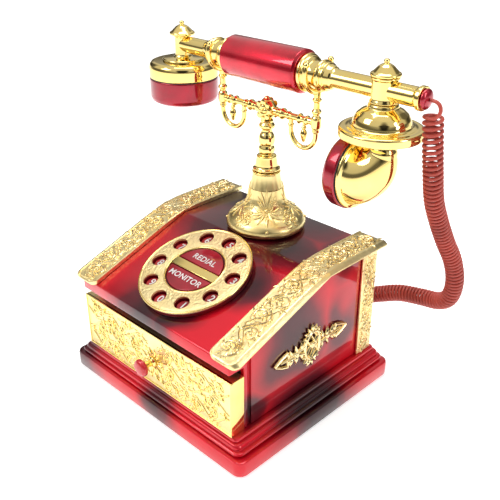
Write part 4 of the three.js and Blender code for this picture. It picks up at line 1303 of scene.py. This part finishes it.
def hub():
    """The rosette in the middle of the bar: a faceted diamond on a beaded disc, facing front and back."""
    shape = Shape()
    rim = [(0, -4.4), (3.6, -4.2), (5.8, -2.8), (6.6, 0), (5.8, 2.8), (3.6, 4.2), (0, 4.4)]
    core = along_minus_y(turned(rim, 48, 0.9))
    shape.merge(core.moved((0, CRADLE_Y, ARM_Z)))
    for face in (-1, 1):
        def place(u, v, w, face=face):
            return (u, CRADLE_Y + face * (3.7 + w), ARM_Z + v)
        for k in range(8):
            a = math.radians(k * 45)
            shape.merge(bead(4.6 * math.cos(a), 4.9 * math.sin(a), 1.9, 0.5, place, 16))
        for k in range(4):
            a = math.radians(k * 90)
            shape.merge(bead(1.8 * math.cos(a), 2.2 * math.sin(a), 2.0, 1.3, place, 16))
        shape.merge(bead(0, 0, 1.5, 1.9, place, 16))
    crown = [(0, 178.4), (2.6, 178.8), (3.1, 180.0), (1.8, 181.0), (1.2, 181.9), (0, 182.3)]
    shape.merge(turned(crown, 24, 0.3).moved((0, CRADLE_Y, 0)))
    piece("cradle_hub", shape, POLISHED, "cradle")


def forks():
    """C-shaped saddles, their ringed posts, and the loops that hang below the bar."""
    rod_radius = 1.7
    inner = 9.8
    collar_radius, gap = 7.5, 0.3
    loop_x, loop_bottom = 19.5, 157
    saddle_radius = inner + rod_radius
    saddle_z = AXIS_Z - collar_radius - gap + inner
    for name, side in (("left", -1), ("right", 1)):
        def across(u, v, side=side):
            return (side * FORK_X, CRADLE_Y + u, v)

        def along(u, v, side=side):
            return (side * u, CRADLE_Y, v)
        shape = Shape()
        sweep = arc((0, saddle_z), saddle_radius, 24, -204, 44, across)
        radii = [rod_radius * (0.72 + 0.28 * math.sin(math.pi * i / 43) ** 0.5) for i in range(44)]
        shape.merge(tube(sweep, radii, 14))
        for end in (sweep[0], sweep[-1]):
            tip = turned([(0, -1.9), (1.4, -1.3), (1.9, 0), (1.4, 1.3), (0, 1.9)], 20, 0.5)
            shape.merge(tip.moved(end))
        foot_z = saddle_z - saddle_radius
        post = turned([(0, 167.4), (1.5, 167.6), (2.3, 168.6), (2.0, 170), (2.8, 171), (3.0, 172.4),
                       (3.0, 175.6), (2.8, 177), (2.0, 178), (1.9, 179), (2.9, 180), (2.9, 181),
                       (1.9, 182.2), (1.8, 186), (2.7, 187), (2.7, 187.8), (2.0, 188.6), (2.2, foot_z),
                       (0, foot_z + 0.4)], 32, 0.3)
        shape.merge(post.moved(along(FORK_X, 0)))
        middle_x = (FORK_X + loop_x) / 2
        reach = FORK_X - middle_x
        loop = [along(FORK_X, 171), along(FORK_X, 169)]
        loop += arc((middle_x, loop_bottom + reach), reach, 0, -180, 24, along)
        loop += [along(loop_x, 169), along(loop_x, 172.4)]
        shape.merge(tube(smooth_line(loop, 60), 1.5, 14))
        knob = turned([(0, 167.6), (1.4, 168), (2.0, 169), (1.4, 170), (0, 170.4)], 20, 0.4)
        shape.merge(knob.moved(along(loop_x, 0)))
        piece("fork_" + name, shape, POLISHED, "cradle", ("cradle_fork_" + name,))


# ---------------------------------------------------------------- handset
GRIP_LOW, GRIP_HIGH = box("handset_grip")
EAR = middle("earpiece_cap")
MOUTH_X = middle("mouthpiece_canopy")[0]
BELL_Z = middle("mouthpiece_cap")[2]
SPINDLE_END = box("mouthpiece_arm")[1][0]


def on_spindle(profile, sides=64, soft=0.35):
    """A profile of (radius, x) turned about the handset's spindle."""
    return along_x(turned(profile, sides, soft)).moved((0, CRADLE_Y, AXIS_Z))


def upright(profile, x, sides=64, soft=0.35):
    """A profile of (radius, height above the spindle) turned about an upright line at x."""
    return turned(profile, sides, soft).moved((x, CRADLE_Y, AXIS_Z))


def handset_grip():
    """The red barrel between the two spindles."""
    left, right = GRIP_LOW[0], GRIP_HIGH[0]
    barrel = on_spindle([(0, left), (9.5, left), (11.0, left), (11.1, left), (12.5, left + 1.4),
                         (12.5, right - 1.4), (11.1, right), (9.5, right), (0, right)], 96, 0.3)
    piece("grip_barrel", barrel, GRIP_RED, "handset", ("handset_grip",))


def collar(start):
    """Rings from the grip to the spindle: (radius, distance from the handset's middle)."""
    rings = [(0, 0), (9.9, 0), (10.6, 0.5), (10.9, 1.6), (10.5, 2.5), (9.5, 2.9), (9.9, 3.6), (9.3, 4.6),
             (7.5, 5.3), (7.5, 11.0), (8.6, 11.4), (9.1, 12.4), (8.7, 13.3), (7.8, 13.8), (7.7, 14.6),
             (8.1, 15.2), (8.0, 16.2), (7.1, 16.9), (6.7, 18.4), (6.3, 19.6), (5.5, 20.6), (5.3, 21.6)]
    return [(radius, start + away) for radius, away in rings]


def finial(bottom, flange, tip):
    """A thick rim under a cone, with a small ball on top."""
    rise = tip - bottom
    return [(0, bottom), (flange - 0.4, bottom), (flange, bottom + 0.4), (flange, bottom + 1.3),
            (flange - 0.5, bottom + 1.8), (flange * 0.86, bottom + 2.1), (flange * 0.78, bottom + 2.7),
            (flange * 0.5, bottom + rise * 0.57), (2.4, tip - 2.8), (1.5, tip - 2.5), (1.4, tip - 2.1),
            (1.7, tip - 1.4), (1.3, tip - 0.4), (0, tip)]


def spindles():
    """The gold arms from the grip to the earpiece and the mouthpiece, and the finials over both."""
    end = SPINDLE_END
    right = collar(GRIP_HIGH[0] + 0.3) + [(5.3, MOUTH_X - 8), (5.3, MOUTH_X + 8), (5.3, end - 4.0),
                                          (5.6, end - 3.2), (6.4, end - 2.4), (6.4, end - 0.3),
                                          (6.1, end), (0, end)]
    shape = on_spindle(right)
    shape.merge(upright([(0, -6.5), (7.5, -6.5), (7.8, -6.0), (7.4, -5.1), (7.0, -4.3), (7.0, 5.0),
                         (7.3, 5.6), (7.6, 6.3), (7.5, 7.0), (0, 7.0)], MOUTH_X))
    piece("arm_right", shape, POLISHED, "handset", ("mouthpiece_arm",))
    left = collar(-GRIP_LOW[0] + 0.3) + [(5.3, 6 - EAR[0] - 14), (4.6, -EAR[0]), (0, -EAR[0])]
    shape = on_spindle([(radius, -away) for radius, away in reversed(left)])
    disc_low = box("earpiece_arm")[0][2] - AXIS_Z
    shape.merge(upright([(0, disc_low), (13.2, disc_low), (13.5, disc_low + 0.4), (13.5, disc_low + 1.6),
                         (12.9, disc_low + 2.2), (6.6, disc_low + 2.5), (5.6, disc_low + 3.2),
                         (5.0, disc_low + 4.2), (4.9, 1.0), (5.0, 4.2), (5.5, 4.8), (5.5, 5.6), (0, 5.6)],
                        EAR[0]))
    piece("arm_left", shape, POLISHED, "handset", ("earpiece_arm",))
    piece("finial_left", upright(finial(5.9, 8.2, 14.6), EAR[0]), POLISHED, "handset",
          ("earpiece_finial",))
    piece("finial_right", upright(finial(7.3, 8.2, 16.2), MOUTH_X), POLISHED, "handset",
          ("mouthpiece_finial",))


def sound_holes():
    """Places of a cap's holes about its middle: one there, and the rest on two circles."""
    places = []
    for radius, count in ((0, 1), (5, 6), (10, 12)):
        for k in range(count):
            a = k * TURN / count
            places.append((radius * math.cos(a), radius * math.sin(a)))
    return places


SOUND_HOLES = sound_holes()


def earpiece():
    """A flat gold drum with a red cap below it."""
    low, high = box("earpiece_housing")
    bottom, top = low[2] - AXIS_Z, high[2] - AXIS_Z
    shell = turned([(0, bottom + 5), (19.4, bottom + 5), (19.6, bottom), (22.4, bottom),
                    (22.7, bottom + 0.4), (22.6, top - 3.6), (22.1, top - 1.8), (20.9, top - 0.5),
                    (19.2, top), (0, top)], 96, 0.4)
    piece("ear_housing", shell.moved((EAR[0], CRADLE_Y, AXIS_Z)), POLISHED, "handset",
          ("earpiece_housing",))
    low, high = box("earpiece_cap")
    bottom, top = low[2] - AXIS_Z, high[2] - AXIS_Z
    cap = upright([(0, bottom + 2.2), (8, bottom + 1.6), (12.8, bottom + 0.7), (17.5, bottom),
                   (20.2, bottom + 0.3), (21.9, bottom + 1.5), (22.6, bottom + 3.6), (22.6, top - 0.8),
                   (22.1, top), (19.5, top), (19.5, bottom + 4), (0, bottom + 4.6)], EAR[0], 96)
    made = piece("ear_cap", cap, CAP_RED, "handset", ("earpiece_cap",))
    holes = []
    for u, v in SOUND_HOLES:
        hole = plug(0.95, bottom - 1, bottom + 6, 14)
        holes.append(hole.moved((EAR[0] + u, CRADLE_Y + v, AXIS_Z)))
    carve(made, *holes)
    seam = plug(22.4, top - 0.3, top + 0.5, 96).moved((EAR[0], CRADLE_Y, AXIS_Z))
    piece("ear_seam", seam, BLACK, "handset")


def mouthpiece():
    """The canopy, the horn that turns back under it, the red cap on the horn, and the cord's end cap."""
    low, high = box("mouthpiece_canopy")
    base = low[2] - AXIS_Z
    canopy = upright([(0, base), (5.4, base), (5.6, base + 2.4), (6.6, base + 3.4), (9.0, -25.8),
                      (14, -25.3), (21.6, -25), (22.8, -24.5), (23.0, -23.6), (23.0, -20.6),
                      (22.6, -19.8), (21.5, -19.4), (19.2, -19.5), (18.0, -19.0), (16.8, -18.8),
                      (16.0, -18.3), (15.8, -16.9), (15.2, -14.8), (13.8, -12.4), (11.4, -10.4),
                      (9.4, -9.4), (8.4, -8.9), (8.3, -7.9), (7.7, -6.8), (0, -6.8)], MOUTH_X, 96, 0.5)
    piece("mouth_canopy", canopy, POLISHED, "handset", ("mouthpiece_canopy",))
    piece("mouth_horn", horn(), POLISHED, "handset", ("mouthpiece_elbow",))
    low, high = box("mouthpiece_cap")
    face, seam = low[0], high[0]
    cap = along_x(turned([(0, face + 2), (7, face + 1.5), (13.5, face + 0.5), (17.4, face),
                          (20.0, face + 0.6), (21.2, face + 2.6), (21.3, seam - 0.8), (20.7, seam),
                          (18.2, seam), (18.2, face + 3.6), (0, face + 4.4)], 96, 0.5))
    cap.moved((0, CRADLE_Y, BELL_Z))
    made = piece("mouth_cap", cap, CAP_RED, "handset", ("mouthpiece_cap",))
    holes = []
    for u, v in SOUND_HOLES:
        hole = along_x(plug(0.85, face - 1, face + 6, 14))
        holes.append(hole.moved((0, CRADLE_Y + u, BELL_Z + v)))
    carve(made, *holes)
    ring = along_x(plug(20.5, seam - 0.3, seam + 0.5, 96))
    piece("mouth_seam", ring.moved((0, CRADLE_Y, BELL_Z)), BLACK, "handset")
    cap = [(0, 0.3), (5.1, 0.3), (5.4, 0.8), (5.3, 1.6), (4.4, 2.4), (2.4, 3.0), (0, 3.3)]
    piece("cord_cap", on_spindle([(r, SPINDLE_END + x) for r, x in cap], 48, 0.5), CAP_RED, "handset",
          ("cord_end_cap",))


def horn():
    """A pipe that swings from the upright neck to the bell's open end, turning about an inner pivot."""
    neck, neck_x, bell, rim = 6.8, 85.2, 18.4, 20.4
    mouth = box("mouthpiece_cap")[1][0] + 0.3
    start = mouth + 2.4
    pivot_z = BELL_Z + bell + 0.2
    top = box("mouthpiece_elbow")[1][2]
    sides = 72

    def ring(x, z, radius, lean):
        made = []
        for a in np.arange(sides) * TURN / sides:
            out = radius * math.cos(a)
            made.append((x + out * math.cos(lean), CRADLE_Y + radius * math.sin(a),
                         z - out * math.sin(lean)))
        return made
    rings = [ring(neck_x, top, neck - 0.3, 0), ring(neck_x, top - 0.06, neck, 0)]
    for share in np.linspace(0, 1, 34):
        lean = share * math.pi / 2
        near = (neck_x - neck - start) * (1 - share) + 0.2
        far = near + 2 * neck + 2 * (bell - neck) * share ** 1.15
        if 0.03 < share < 0.1:
            near, far = near - 0.4, far + 0.4
        away = (near + far) / 2
        rings.append(ring(start + away * math.cos(lean), pivot_z - away * math.sin(lean),
                          (far - near) / 2, lean))
    rings.append(ring(start - 1, BELL_Z, bell - 0.2, math.pi / 2))
    rim_shape = turned_ring([(14, mouth + 1.6), (15.6, mouth), (rim - 0.9, mouth),
                             (rim - 0.2, mouth + 0.4), (rim, mouth + 1.1), (rim - 0.4, mouth + 1.9),
                             (bell + 0.4, start), (bell - 0.6, start + 0.6)], 96, 0.3)
    return skin(rings).merge(along_x(rim_shape).moved((0, CRADLE_Y, BELL_Z)))


# ---------------------------------------------------------------- rear sockets
def rear():
    """The ribbed sleeve that the cord comes out of."""
    low, high = box("cord_grommet")
    centre = (low + high) / 2
    sleeve = [(0, -5), (3.0, -5), (3.0, 0.2), (5.0, 0.2), (5.0, 1.4), (4.2, 1.9)]
    for k in range(3):
        sleeve += [(3.5 - 0.25 * k, 2.0 + k * 0.7), (3.0 - 0.25 * k, 2.2 + k * 0.7)]
    sleeve += [(2.2, high[1] - CASING_HIGH[1]), (0, high[1] - CASING_HIGH[1])]
    made = turned(sleeve, 40, 0.15).mapped(lambda x, y, z: (x, z, y))
    made.moved((centre[0], CASING_HIGH[1], centre[2]))
    piece("grommet_sleeve", made, RUBBER, "phone_base", ("cord_grommet",))


plinth()
casing()
drawer_front()
drawer_knob()
trim_bands()
corner_strips()
side_ornaments()
dial()
keys()
pedestal()
cradle_column()
hub()
forks()
handset_grip()
spindles()
earpiece()
mouthpiece()
rear()
use(BLACK, "bottom_cover", "inner_shelf", "drawer_tray", "hook_switch", "ringer", "earpiece_speaker",
    "microphone", "line_jack")
use(RUBBER, "base_felt", "key_membrane")
use(BOARD, "main_board")
use(STEEL, "hook_plunger", "hook_spring")
